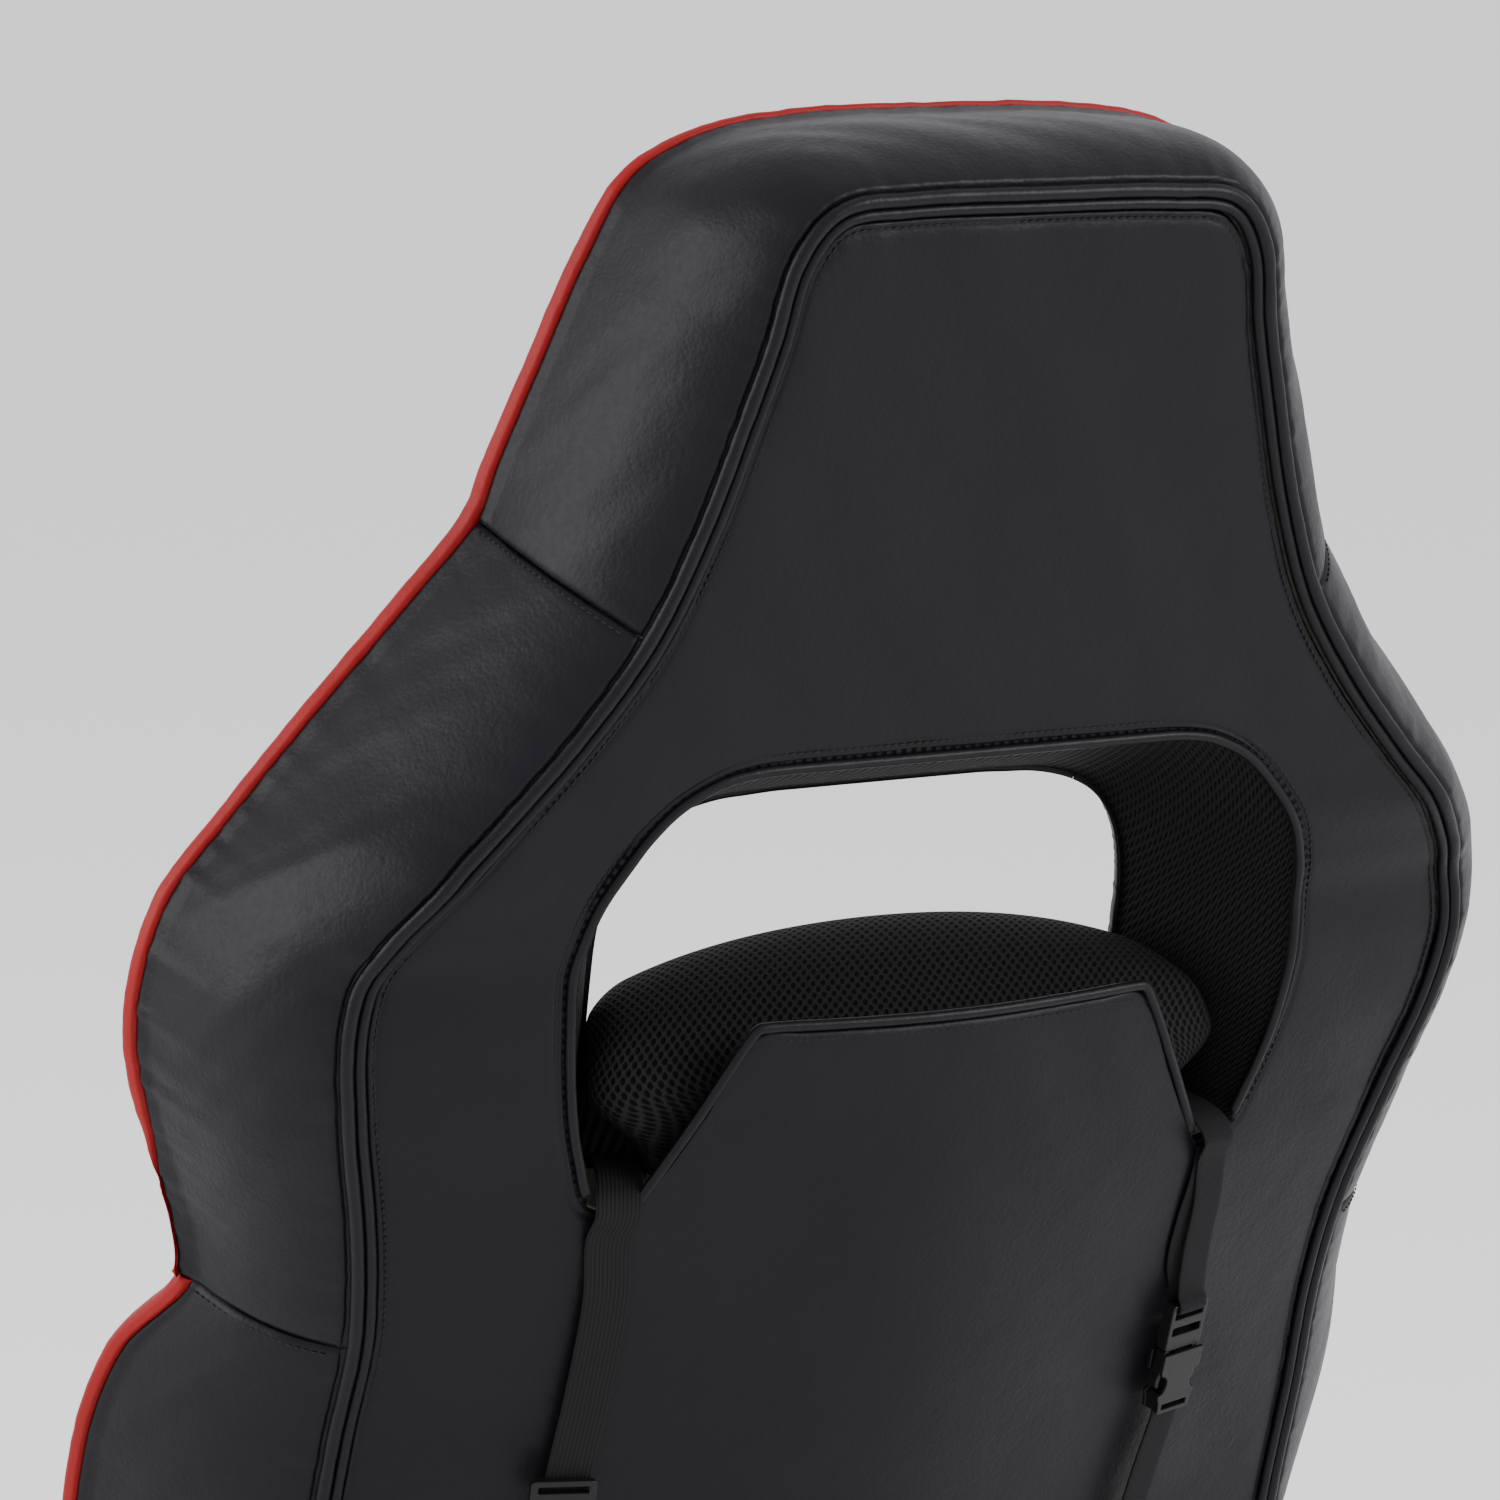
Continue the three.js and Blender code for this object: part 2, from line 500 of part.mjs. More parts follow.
const rimPath = beside(RIM, NOTCH_ROW - 0.5, -RIM_PIPE_D / 2 - 3 * GAP);
add(back, 'rim_piping', cord(rimPath, RIM_PIPE_D), BLACK_LEATHER);

const TONGUE_OFF = RIM_PIPE_D / 2 + 4 * GAP;
const [tongueFoot, tongueCorner] = [TONGUE[1], TONGUE[4]];
const tongueRun = new THREE.Vector2(tongueFoot[0] - tongueCorner[0], tongueFoot[1] - tongueCorner[1]).normalize();
const TONGUE_TOP = TONGUE[8][1] + TONGUE_OFF;
const tonguePoint = (x, h) => new THREE.Vector3(x, rearDepth(x, h) + PIPE_SINK, h);
/** A point beside the tongue's slanted edge, t of the way from its foot to its corner. */
const tongueSide = (t) => tonguePoint(
  THREE.MathUtils.lerp(tongueFoot[0], tongueCorner[0], t) - tongueRun.y * TONGUE_OFF,
  THREE.MathUtils.lerp(tongueFoot[1], tongueCorner[1], t) + tongueRun.x * TONGUE_OFF);
const besideCorner = tongueSide(1);
const mitre = tonguePoint(besideCorner.x + (TONGUE_TOP - besideCorner.z) * tongueRun.x / tongueRun.y, TONGUE_TOP);
// the cord starts above the strap, as a share of the slanted edge
const TONGUE_PIPE_FROM = 0.016 * STRAP_LEFT_W - 0.148;
const tongueHalf = [...[TONGUE_PIPE_FROM, 0.35, 0.62, 0.9].map(tongueSide), mitre, ...[60, 40, 20].map((x) => tonguePoint(x, TONGUE_TOP))];
const mirrored = (points) => points.map((p) => new THREE.Vector3(-p.x, p.y, p.z)).reverse();
const tonguePath = [...tongueHalf, tonguePoint(0, TONGUE_TOP), ...mirrored(tongueHalf)];
add(back, 'tongue_piping', cord(tonguePath, RIM_PIPE_D), BLACK_LEATHER);

// ---- back: centre pad in the foot of the opening ----------------------------------------------
const PAD_FOOT = ROWS[NOTCH_ROW].mouth[1] + 1;
const PAD_CREST = 443;
const PAD_FRONT = 82;
const PAD_GAP = 2.5;
const PAD_HALF = 120;            // its half width at the most
const padCrest = (x) => PAD_CREST - 0.0008 * x ** 2 - 2.6e-8 * x ** 4;
/** Half the opening's width at a depth and a height. */
function wallHalf(depth, h) {
  const row = ROWS.findIndex((r) => r.rim[1] <= h);
  const [up, low] = [ROWS[row - 1], ROWS[row]];
  const t = (up.rim[1] - h) / (up.rim[1] - low.rim[1]);
  const rimHalf = THREE.MathUtils.lerp(up.rim[0], low.rim[0], t);
  return THREE.MathUtils.lerp(rimHalf, ROWS[NOTCH_ROW - 1].mouth[0], Math.max(0, depth / MOUTH_DEPTH));
}
const STRAP_ROOM = 1.7;          // beside a strap in the opening's lower corner
function padRing(a) {
  const halfAt = (depth, h) => wallHalf(depth, h) - LINER_T - STRAP_LEFT_W - 2 * STRAP_ROOM;
  const x = a * PAD_HALF;
  const crest = padCrest(x);
  const rear = Math.max(...[365, 400, 430].map((h) => rearDepth(x, h))) + PANEL_T + PAD_GAP;
  const profile = [[rear, PAD_FOOT + 0.5], [rear + 1, crest - 46], [rear + 8, crest - 26], [26, crest - 9], [40, crest - 2],
    [54, crest], [68, crest - 3], [77, crest - 12], [PAD_FRONT - 1, crest - 26], [PAD_FRONT, PAD_FOOT + 0.5]];
  return profile.map(([depth, h]) => new THREE.Vector3(a * Math.min(PAD_HALF, halfAt(depth, Math.max(h, 366))), depth, h));
}
const padRings = [];
for (let i = 0; i <= 20; i++) padRings.push(padRing(-1 + i / 10));
add(back, 'centre_pad', loft(padRings), MESH);

// ---- straps, slider, buckle and lumbar pillow --------------------------------------------------
const onRear = (x, h, lift) => [x, rearDepth(x, h) - lift, h, slopeAcross(x, h)];
const PILLOW_H = 210;            // pillow's middle
const PILLOW_DEPTH = 112;        // its rear face
const STRAP_LIFT = 3;            // strap's middle, behind the rear surface where it comes out
const STRAP_EASE = 0.0375;       // how fast a taut strap leaves the hollow back, going down
const LEAVE_H = 350;
const liftAt = (h) => STRAP_LIFT + STRAP_EASE * Math.max(0, LEAVE_H - h);
const taut = (x, h) => onRear(x, h, liftAt(h));
// height of the straps inside the opening: a wider strap passes the tongue's slanted edge higher up
const CORNER_H = 353 + STRAP_LEFT_W;
const cornerX = (depth) => wallHalf(depth, CORNER_H) - LINER_T - STRAP_ROOM - STRAP_LEFT_W / 2;
const besidePad = (depth, rise) => [cornerX(depth), depth, CORNER_H + rise, 0];
/** The way in from the pillow's top edge, beside the pad's end, out of the opening's lower corner. */
const throughCorner = (side) => [[102, 126, 297, 0], [102, 107, 340, 0], [cornerX(74), 97, 362, 0],
  [cornerX(74), 84, CORNER_H - 1, 0], besidePad(66, 0.5), besidePad(45, 0.5), besidePad(25, 0),
  [cornerX(10), 10, CORNER_H - 1, 0.05], [131, 2.5, 366.5, 0.12], [132.5, -1.2, 361, 0.18],
].map(([x, depth, h, lie]) => [side * x, depth, h, side * lie, 0]);
const underBack = (x) => [[x, 13.6, 100, Math.sign(x) * 0.15, 0], [x, 9.5, 0, 0, 0], [x, 7.5, -34, 0, 0], [x, 12, -47, 0, 0],
  [x, 27, -52, 0, 0], [x, 39, -53, 0, 0]];
const leftRoute = [...throughCorner(-1), taut(-133, 350), taut(-130.5, 324), taut(-131.5, 282), taut(-134.5, 240), taut(-137, 190),
  ...underBack(-138)];
add(back, 'strap_left', strap(leftRoute, STRAP_LEFT_W, STRAP_T, 48), WEBBING);

/** Turns something made round its own origin to lie along a strap at x, h, lift behind the rear surface. */
function layOn(made, x, h, lift) {
  const across = new THREE.Vector3(1, slopeAcross(x, h), 0).normalize();
  const up = new THREE.Vector3(0, slopeUp(x, h) + STRAP_EASE, 1);
  up.addScaledVector(across, -up.dot(across)).normalize();
  const forward = new THREE.Vector3().crossVectors(up, across);
  const place = new THREE.Vector3(x, rearDepth(x, h), h).addScaledVector(forward, -lift);
  return made.applyMatrix4(new THREE.Matrix4().makeBasis(across, forward, up).setPosition(place));
}
const slab = (halfWidth, thickness, z0, z1, x = 0) => box(x - halfWidth, x + halfWidth, -thickness / 2, thickness / 2, z0, z1);

const BUCKLE_X = 135.5;
const BUCKLE_H = 262;            // where the two halves of the buckle meet
const MALE_L = 22;
const FEMALE_L = 28;
const BUCKLE_LIFT = liftAt(BUCKLE_H) + 0.6;
const layBuckle = (made) => layOn(made, BUCKLE_X, BUCKLE_H, BUCKLE_LIFT);
const buckleEnd = (z) => {
  const end = layBuckle(box(-1, 1, -1, 1, z - 1, z + 1));
  end.computeBoundingBox();
  const middle = end.boundingBox.getCenter(new THREE.Vector3());
  return [middle.x, middle.y, middle.z, slopeAcross(BUCKLE_X, BUCKLE_H)];
};
const rightUpper = [...throughCorner(1), taut(134, 350), taut(136.5, 330), taut(136.5, 308), buckleEnd(MALE_L + 3 * GAP)];
add(back, 'strap_right_upper', strap(rightUpper, STRAP_RIGHT_W, STRAP_T, 38), WEBBING);
const rightLower = [buckleEnd(-FEMALE_L - 6 * GAP), taut(131.5, 205), taut(127, 175), ...underBack(124)];
add(back, 'strap_right_lower', strap(rightLower, STRAP_RIGHT_W, STRAP_T, 28), WEBBING);

const SLOT_HALF = STRAP_RIGHT_W / 2 + 0.5;
const maleSlots = [slab(SLOT_HALF, 20, 15, 19), slab(SLOT_HALF, 20, 7.5, 11.5)];
add(back, 'buckle_male', layBuckle(cut(slab(10, 6, 2 * GAP, MALE_L), ...maleSlots)), PLASTIC);
const PRONG = { inner: 6.2, outer: 10.6, foot: -16, travel: 2 };
const pockets = [-1, 1].map((side) => {
  const from = PRONG.inner - PRONG.travel - 0.5;
  const to = BUCKLE_W / 2 + 1;
  return slab((to - from) / 2, 5.8, PRONG.foot - 2, 1, side * (from + to) / 2);
});
add(back, 'buckle_female', layBuckle(cut(slab(BUCKLE_W / 2, BUCKLE_T, -FEMALE_L, 0), ...pockets)), PLASTIC);
for (const [name, side] of [['buckle_prong_left', -1], ['buckle_prong_right', 1]]) {
  const middle = side * (PRONG.inner + PRONG.outer) / 2;
  add(back, name, layBuckle(slab((PRONG.outer - PRONG.inner) / 2, 4.8, PRONG.foot, GAP, middle)), PLASTIC);
}

const SLIDER_X = -134.5;
const SLIDER_AT = 238;
const sliderSlot = (z) => slab(STRAP_LEFT_W / 2 + 1, 8, z - 1.5, z + 1.5);
const slider = cut(slab(SLIDER_W / 2, 2.8, -SLIDER_H / 2, SLIDER_H / 2), sliderSlot(-3), sliderSlot(3));
add(back, 'strap_slider', layOn(slider, SLIDER_X, SLIDER_AT, liftAt(SLIDER_AT) + STRAP_T / 2 + 2), PLASTIC);

/** A puffed cushion: superellipse rings that shrink towards both ends along X. */
function puffed(centre, size, power, steps) {
  const rings = [];
  for (let i = 0; i <= steps; i++) {
    const a = -0.985 + 1.97 * i / steps;
    const shrink = (1 - Math.abs(a) ** power) ** (1 / power);
    const ring = [];
    for (let j = 0; j < 16; j++) {
      const angle = 2 * Math.PI * j / 16;
      const c = Math.cos(angle);
      const s = Math.sin(angle);
      const y = Math.sign(c) * Math.abs(c) ** 0.7 * size[1] / 2 * (0.25 + 0.75 * shrink);
      const z = Math.sign(s) * Math.abs(s) ** 0.45 * size[2] / 2 * (0.8 + 0.2 * shrink);
      ring.push(new THREE.Vector3(centre[0] + a * size[0] / 2, centre[1] + y, centre[2] + z));
    }
    rings.push(ring);
  }
  return loft(rings);
}
add(back, 'lumbar_pillow', puffed([0, PILLOW_DEPTH + PILLOW[1] / 2, PILLOW_H], PILLOW, 5, 14), BLACK_LEATHER);

// ---- recline arms on the back -----------------------------------------------------------------
/** A plate in the YZ plane from a list of [y, z], thickness along X from x0. */
function plateX(points, x0, thickness, hole) {
  const shape = new THREE.Shape(points.map(([y, z]) => new THREE.Vector2(y, z)));
  if (hole) {
    const round = new THREE.Path(new THREE.EllipseCurve(hole.y, hole.z, hole.d / 2, hole.d / 2).getPoints(20).slice(0, -1));
    shape.holes.push(round);
  }
  const made = new THREE.ExtrudeGeometry(shape, { depth: thickness, bevelEnabled: false });
  const turn = new THREE.Matrix4().makeBasis(new THREE.Vector3(0, 1, 0), new THREE.Vector3(0, 0, 1), new THREE.Vector3(1, 0, 0));
  return made.applyMatrix4(turn).translate(x0, 0, 0);
}
const arc = (y, z, r, from, to, n) => Array.from({ length: n + 1 }, (_, i) => {
  const angle = THREE.MathUtils.degToRad(THREE.MathUtils.lerp(from, to, i / n));
  return [y + r * Math.cos(angle), z + r * Math.sin(angle)];
});
const ARM_R = 32;
const ARM_TOP = 98;
const armOutline = [...arc(HINGE_DEPTH, 0, ARM_R, 180, 360, 12), ...arc(FRAME_DEPTH, ARM_TOP - 18, 18, 0, 180, 8)];
const PIVOT_HOLE = { y: HINGE_DEPTH, z: 0, d: BOLT_D + 2 * GAP };
const ARM_X = BACK_HALF_LOW + 1;
for (const [name, side] of [['back_arm_right', 1], ['back_arm_left', -1]]) {
  const x0 = side > 0 ? ARM_X : -ARM_X - ARM_T;
  const hole = cylinderX(x0 - 5, x0 + ARM_T + 5, FRAME_DEPTH, ARM_BOLT_H, ARM_BOLT_D + 2 * GAP, 12);
  add(back, name, cut(plateX(armOutline, x0, ARM_T, PIVOT_HOLE), hole), STEEL);
  const head = side * (ARM_X + ARM_T + GAP);
  const shank = cylinderX(side * (BACK_TUBE_X + FRAME_D / 2 + 2), head + side * 0.5, FRAME_DEPTH, ARM_BOLT_H, ARM_BOLT_D, 12);
  const hex = cylinderX(head, head + side * 5, FRAME_DEPTH, ARM_BOLT_H, 14, 6);
  add(back, name.replace('back_arm', 'arm_bolt'), join(shank, hex), ZINC);
}

// ---- seat base ---------------------------------------------------------------------------------
const half = PLATE / 2;
const pitch = HOLE_PITCH / 2;
const corners = [[-1, -1], [1, -1], [1, 1], [-1, 1]];
const BOARD_BOLT = { at: 130, d: 8, head: 15, headT: 2.6 };
const plateHoles = corners.map(([a, b]) => cylinderZ(a * pitch, b * pitch, -1, PLATE_T + 1, HOLE_D));
const boltHoles = (extra) => corners.map(([a, b]) => cylinderZ(a * BOARD_BOLT.at, b * BOARD_BOLT.at, -1, 40, BOARD_BOLT.d + extra));
const counterbores = corners.map(([a, b]) => cylinderZ(a * BOARD_BOLT.at, b * BOARD_BOLT.at, -1, BOARD_BOLT.headT + 2 * GAP, BOARD_BOLT.head + 2 * GAP));
add(group, 'base_plate', cut(box(-half, half, -half, half, 0, PLATE_T), ...plateHoles, ...boltHoles(2 * GAP), ...counterbores), STEEL);
const BOARD_Z = PLATE_T + GAP;
const BOARD_TOP = BOARD_Z + BOARD_T;
add(group, 'seat_board', cut(box(-SEAT_HALF + 5, SEAT_HALF - 5, SEAT_REAR + 6, SEAT_FRONT - 12, BOARD_Z, BOARD_TOP), ...boltHoles(2 * GAP)), PLYWOOD);
corners.forEach(([a, b], i) => {
  const x = a * BOARD_BOLT.at;
  const y = b * BOARD_BOLT.at;
  const head = cylinderZ(x, y, GAP, GAP + BOARD_BOLT.headT, BOARD_BOLT.head);
  add(group, `board_bolt_${i + 1}`, join(head, cylinderZ(x, y, 1, BOARD_TOP - GAP, BOARD_BOLT.d)), ZINC);
});

/** A cushion lofted along Y: rounded sections between x0 and x1 whose top follows top(y, x). */
function cushion(x0, x1, top, steps, front) {
  const rings = [];
  const bottom = BOARD_TOP + GAP;
  const across = 10;
  for (let i = 0; i <= steps; i++) {
    const y = THREE.MathUtils.lerp(SEAT_REAR, front, i / steps);
    const ring = [];
    for (let j = 0; j <= across; j++) {
      const t = j / across;
      const x = THREE.MathUtils.lerp(x0, x1, t);
      const edge = Math.min(1, Math.min(t, 1 - t) * 5);
      ring.push(new THREE.Vector3(x, y, THREE.MathUtils.lerp(top(y, x) - 10, top(y, x), Math.sin(edge * Math.PI / 2))));
    }
    ring.push(new THREE.Vector3(x1, y, bottom), new THREE.Vector3(x0, y, bottom));
    rings.push(ring);
  }
  return loft(rings);
}
const nose = (y, drop) => (y > SEAT_FRONT - 90 ? drop * ((y - SEAT_FRONT + 90) / 90) ** 2 : 0);
const tail = (y) => (y < SEAT_REAR + 25 ? 8 * ((SEAT_REAR + 25 - y) / 25) ** 2 : 0);
const middleTop = (y, x) => SEAT_TOP - 6 * (x / CENTRE_HALF) ** 2 - nose(y, 34) - tail(y);
const BOLSTER_X0 = CENTRE_HALF + 4;
const bolsterShape = (x) => Math.sin(Math.PI * THREE.MathUtils.clamp((Math.abs(x) - BOLSTER_X0) / (SEAT_HALF - BOLSTER_X0), 0, 1) ** 0.8);
const bolsterTop = (y, x) => THREE.MathUtils.lerp(SEAT_TOP - 4, BOLSTER_TOP, bolsterShape(x)) - nose(y, 62) - tail(y);
add(group, 'seat_cushion', cushion(-CENTRE_HALF, CENTRE_HALF, middleTop, 14, SEAT_FRONT), BLACK_LEATHER);
add(group, 'seat_bolster_right', cushion(BOLSTER_X0, SEAT_HALF, bolsterTop, 14, SEAT_FRONT - 8), BLACK_LEATHER);
add(group, 'seat_bolster_left', cushion(-SEAT_HALF, -BOLSTER_X0, bolsterTop, 14, SEAT_FRONT - 8), BLACK_LEATHER);
const SEAT_PIPE_D = 4;
for (const [name, side] of [['seat_piping_right', 1], ['seat_piping_left', -1]]) {
  const path = [];
  for (let i = 0; i <= 14; i++) {
    const y = THREE.MathUtils.lerp(SEAT_REAR + 2, SEAT_FRONT - 14, i / 14);
    path.push(new THREE.Vector3(side * (CENTRE_HALF + 2), y, middleTop(y, CENTRE_HALF) - 3));
  }
  add(group, name, cord(path, SEAT_PIPE_D, new THREE.Vector3(0, 0, 1)), RED_LEATHER);
}

// ---- recliner ----------------------------------------------------------------------------------
const BRACKET_X = ARM_X + ARM_T + 2;
const BRACKET_R = 38;
const FOOT_Y0 = -178;
const FOOT_Y1 = -60;
const FOOT_Z = 1;
const bracketOutline = [...arc(HINGE_Y, HINGE_Z, BRACKET_R, 20, 235, 16), [FOOT_Y0, FOOT_Z], [FOOT_Y1, FOOT_Z], [FOOT_Y1, 30]];
const bracketHole = { y: HINGE_Y, z: HINGE_Z, d: BOLT_D + 2 * GAP };
const FLANGE_X = half + 3;
const COVER_DEPTH = 14;
const COVER_WALL = 2.5;
for (const [word, side] of [['right', 1], ['left', -1]]) {
  const from = (x, thickness) => (side > 0 ? x : -x - thickness);
  const plate = plateX(bracketOutline, from(BRACKET_X, ARM_T), ARM_T, bracketHole);
  const flange = box(...[side * FLANGE_X, side * (BRACKET_X + 1)].sort((a, b) => a - b), FOOT_Y0, FOOT_Y1, FOOT_Z, PLATE_T);
  add(group, `recliner_bracket_${word}`, join(plate, flange), STEEL);
  const coverX = BRACKET_X + ARM_T + GAP;
  const grow = (r, y0, y1, z0) => [...arc(HINGE_Y, HINGE_Z, r, 20, 235, 16), [FOOT_Y0 + y0, z0], [FOOT_Y1 + y1, z0], [FOOT_Y1 + y1, 36]];
  const outer = plateX(grow(BRACKET_R + 4, -4, 2, 8), from(coverX, COVER_DEPTH), COVER_DEPTH);
  const innerX = side > 0 ? coverX - 1 : -coverX - COVER_DEPTH + COVER_WALL;
  const inner = plateX(grow(BRACKET_R + 4 - COVER_WALL, -4 + COVER_WALL, 2 - COVER_WALL, 8 + COVER_WALL), innerX, COVER_DEPTH - COVER_WALL + 1);
  const shaftHole = cylinderX(side * (coverX - 5), side * (coverX + COVER_DEPTH + 5), HINGE_Y, HINGE_Z, 20, 20);
  add(group, `recliner_cover_${word}`, side > 0 ? cut(outer, inner, shaftHole) : cut(outer, inner), PLASTIC);
  const boltFrom = side * (ARM_X - 0.3 + GAP);
  const headX = side * coverX;
  const headEnd = headX + side * 6;
  add(group, `pivot_bolt_${word}`, join(cylinderX(boltFrom, headX + side * 0.5, HINGE_Y, HINGE_Z, BOLT_D, 16),
    cylinderX(headX, headEnd, HINGE_Y, HINGE_Z, 17, 6)), ZINC);
}

const HUB_X = BRACKET_X + ARM_T + GAP + 6 + GAP;
const LEVER_X = BRACKET_X + ARM_T + GAP + COVER_DEPTH + 1;
const lever = new THREE.Group();
lever.position.set(0, HINGE_Y, HINGE_Z);
group.add(lever);
const LEVER_L = 150;
const LEVER_RISE = 12;
add(lever, 'recline_lever', join(
  cylinderX(HUB_X, LEVER_X + 2, 0, 0, 17, 20),
  plateX([...arc(0, 0, 17, 60, 300, 12), [LEVER_L, LEVER_RISE - 9], [LEVER_L, LEVER_RISE + 9]], LEVER_X, 6),
), STEEL);
const gripTop = 11;
add(lever, 'lever_grip', cut(
  plateX([...arc(LEVER_L + 42, LEVER_RISE, gripTop, -90, 90, 10), [LEVER_L - 28, LEVER_RISE + gripTop], [LEVER_L - 28, LEVER_RISE - gripTop]], LEVER_X - 5, 16),
  plateX([...arc(0, 0, 18, 60, 300, 12), [LEVER_L + GAP, LEVER_RISE - 9.5], [LEVER_L + GAP, LEVER_RISE + 9.5]], LEVER_X - GAP, 6 + 2 * GAP),
), PLASTIC);

export default group;
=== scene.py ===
# %% [markdown]
# # A reclining racing seat, upholstered piece by piece
# The CAD model gives every piece its place. This lesson makes the looks: padded covers, cords, seams,
# mesh, webbing and moulded plastic. Each surface is a function of two numbers, worked out with numpy.

# %% Load the frame
import math
import bpy
import numpy as np
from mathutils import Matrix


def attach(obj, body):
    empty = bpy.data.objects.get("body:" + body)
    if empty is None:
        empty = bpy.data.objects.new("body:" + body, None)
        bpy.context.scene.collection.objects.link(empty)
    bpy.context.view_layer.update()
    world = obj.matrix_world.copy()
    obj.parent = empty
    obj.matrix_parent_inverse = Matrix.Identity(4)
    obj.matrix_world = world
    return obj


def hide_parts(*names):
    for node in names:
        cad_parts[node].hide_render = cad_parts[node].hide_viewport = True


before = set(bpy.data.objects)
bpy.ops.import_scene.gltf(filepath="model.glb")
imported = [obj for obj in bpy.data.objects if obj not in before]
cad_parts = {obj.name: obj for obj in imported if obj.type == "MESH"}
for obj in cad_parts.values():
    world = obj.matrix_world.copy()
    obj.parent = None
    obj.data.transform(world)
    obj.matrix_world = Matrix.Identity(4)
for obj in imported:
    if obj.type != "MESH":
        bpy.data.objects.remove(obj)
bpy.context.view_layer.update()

# %% [markdown]
# ## Camera
# The seat is looked at from behind, from its left and a little above. The camera is made first: it
# stands 2.02 m from a point on the back, and it is moved a little up and left of the straight line,
# which keeps upright lines upright without a lens shift.

# %% Camera
TURN = math.radians(28)
DOWN = math.radians(9.5)
LOOK = np.array([math.sin(TURN) * math.cos(DOWN), math.cos(TURN) * math.cos(DOWN), -math.sin(DOWN)])
RIGHT = np.array([math.cos(TURN), -math.sin(TURN), 0.0])
UP = np.cross(RIGHT, LOOK)
AIM = np.array([0.0, -0.392, 0.5487])
DISTANCE, LEFT_BY, UP_BY = 2.0196, 0.0768, 0.0755
eye = AIM - DISTANCE * LOOK - LEFT_BY * RIGHT + UP_BY * UP


def put(name, data):
    """A new object in the scene."""
    made = bpy.data.objects.new(name, data)
    bpy.context.collection.objects.link(made)
    return made


def stand(made, right, up, ahead, place):
    """Places a camera or a light, which looks along its own negative z axis."""
    axes = np.eye(4)
    axes[:3, 0], axes[:3, 1], axes[:3, 2], axes[:3, 3] = right, up, -ahead, place
    made.matrix_world = axes.T.tolist()


lens = bpy.data.cameras.new("camera")
lens.sensor_width = 36
lens.lens = 128.4
camera = put("camera", lens)
stand(camera, RIGHT, UP, LOOK, eye)
bpy.context.scene.camera = camera
print("camera at", np.round(eye, 3))

# %% [markdown]
# ## Finishes
# Materials come before shapes here, so that each piece gets its finish as it is made. Colours are
# written as they look on a screen and turned to linear light by one function. One other function
# adds a node, sets it and links it.

# %% Colour and node helpers
def linear(colour):
    """Linear RGBA of an sRGB hex colour: each channel c becomes ((c + 0.055) / 1.055) ** 2.4."""
    c = np.array([int(colour[i:i + 2], 16) for i in (1, 3, 5)]) / 255
    return (*np.where(c <= 0.04045, c / 12.92, ((c + 0.055) / 1.055) ** 2.4).tolist(), 1.0)


def set_inputs(tree, node, inputs):
    """Each value is either a number or a socket to link from."""
    for key, value in inputs.items():
        if isinstance(value, bpy.types.NodeSocket):
            tree.links.new(value, node.inputs[key])
        else:
            node.inputs[key].default_value = value


def add_node(tree, kind, inputs=None, **settings):
    made = tree.nodes.new(kind)
    for key, value in settings.items():
        setattr(made, key, value)
    set_inputs(tree, made, inputs or {})
    return made


def new_material(name):
    material = bpy.data.materials.new(name)
    material.use_nodes = True
    tree = material.node_tree
    return material, tree, tree.nodes["Principled BSDF"]


def blend_colours(tree, share, low, high):
    """A colour between two hex colours."""
    mixed = add_node(tree, "ShaderNodeMix", {"Factor": share}, data_type="RGBA")
    mixed.inputs[6].default_value = linear(low)
    mixed.inputs[7].default_value = linear(high)
    return mixed.outputs[2]


def noise(tree, place, size, detail):
    """Noise whose patches are about size wide, in metres."""
    inputs = {"Vector": place, "Scale": 1 / size, "Detail": detail}
    return add_node(tree, "ShaderNodeTexNoise", inputs).outputs[0]


def relief(tree, height, strength, distance, below=None):
    """Normals of a height that stands distance metres up, laid over the normals below."""
    inputs = {"Height": height, "Strength": strength, "Distance": distance}
    if below is not None:
        inputs["Normal"] = below
    return add_node(tree, "ShaderNodeBump", inputs).outputs[0]


def between(tree, share, low, high):
    return add_node(tree, "ShaderNodeMapRange", {"Value": share, "To Min": low, "To Max": high}).outputs[0]


# %% [markdown]
# ## Leather
# PU leather is a film of polyurethane, embossed with a fine grain and coated satin. Its grain is a
# net of cells about a millimetre wide: cell noise does it, drawn 1.5 mm wide so that it shows. Soft
# unevenness of the padding underneath comes from a second, much wider noise.

# %% PU leather
LEATHER_GRAIN = 0.0015


def pu_leather(name, dark, light, rough=(0.36, 0.5)):
    """Embossed and coated: a satin gloss that breaks up over small cells and wide soft waves."""
    material, tree, shader = new_material(name)
    place = add_node(tree, "ShaderNodeTexCoord").outputs["Object"]
    grain = add_node(tree, "ShaderNodeTexVoronoi", {"Vector": place, "Scale": 1 / LEATHER_GRAIN},
                     feature="SMOOTH_F1")
    fine = noise(tree, place, 0.003, 3)
    soft = noise(tree, place, 0.05, 2)
    film = relief(tree, grain.outputs["Distance"], 0.3, 0.0003)
    creased = relief(tree, fine, 0.3, 0.0005, film)
    set_inputs(tree, shader, {
        "Base Color": blend_colours(tree, soft, dark, light), "Roughness": between(tree, fine, *rough),
        "Normal": relief(tree, soft, 0.5, 0.003, creased), "Specular IOR Level": 0.15})
    return material


black_leather = pu_leather("PU leather black", "#08070b", "#0d0b11")
piping_leather = pu_leather("PU leather black folded", "#0a090c", "#0f0d12", (0.34, 0.46))
red_leather = pu_leather("PU leather red", "#7a1012", "#8c1617", (0.4, 0.52))

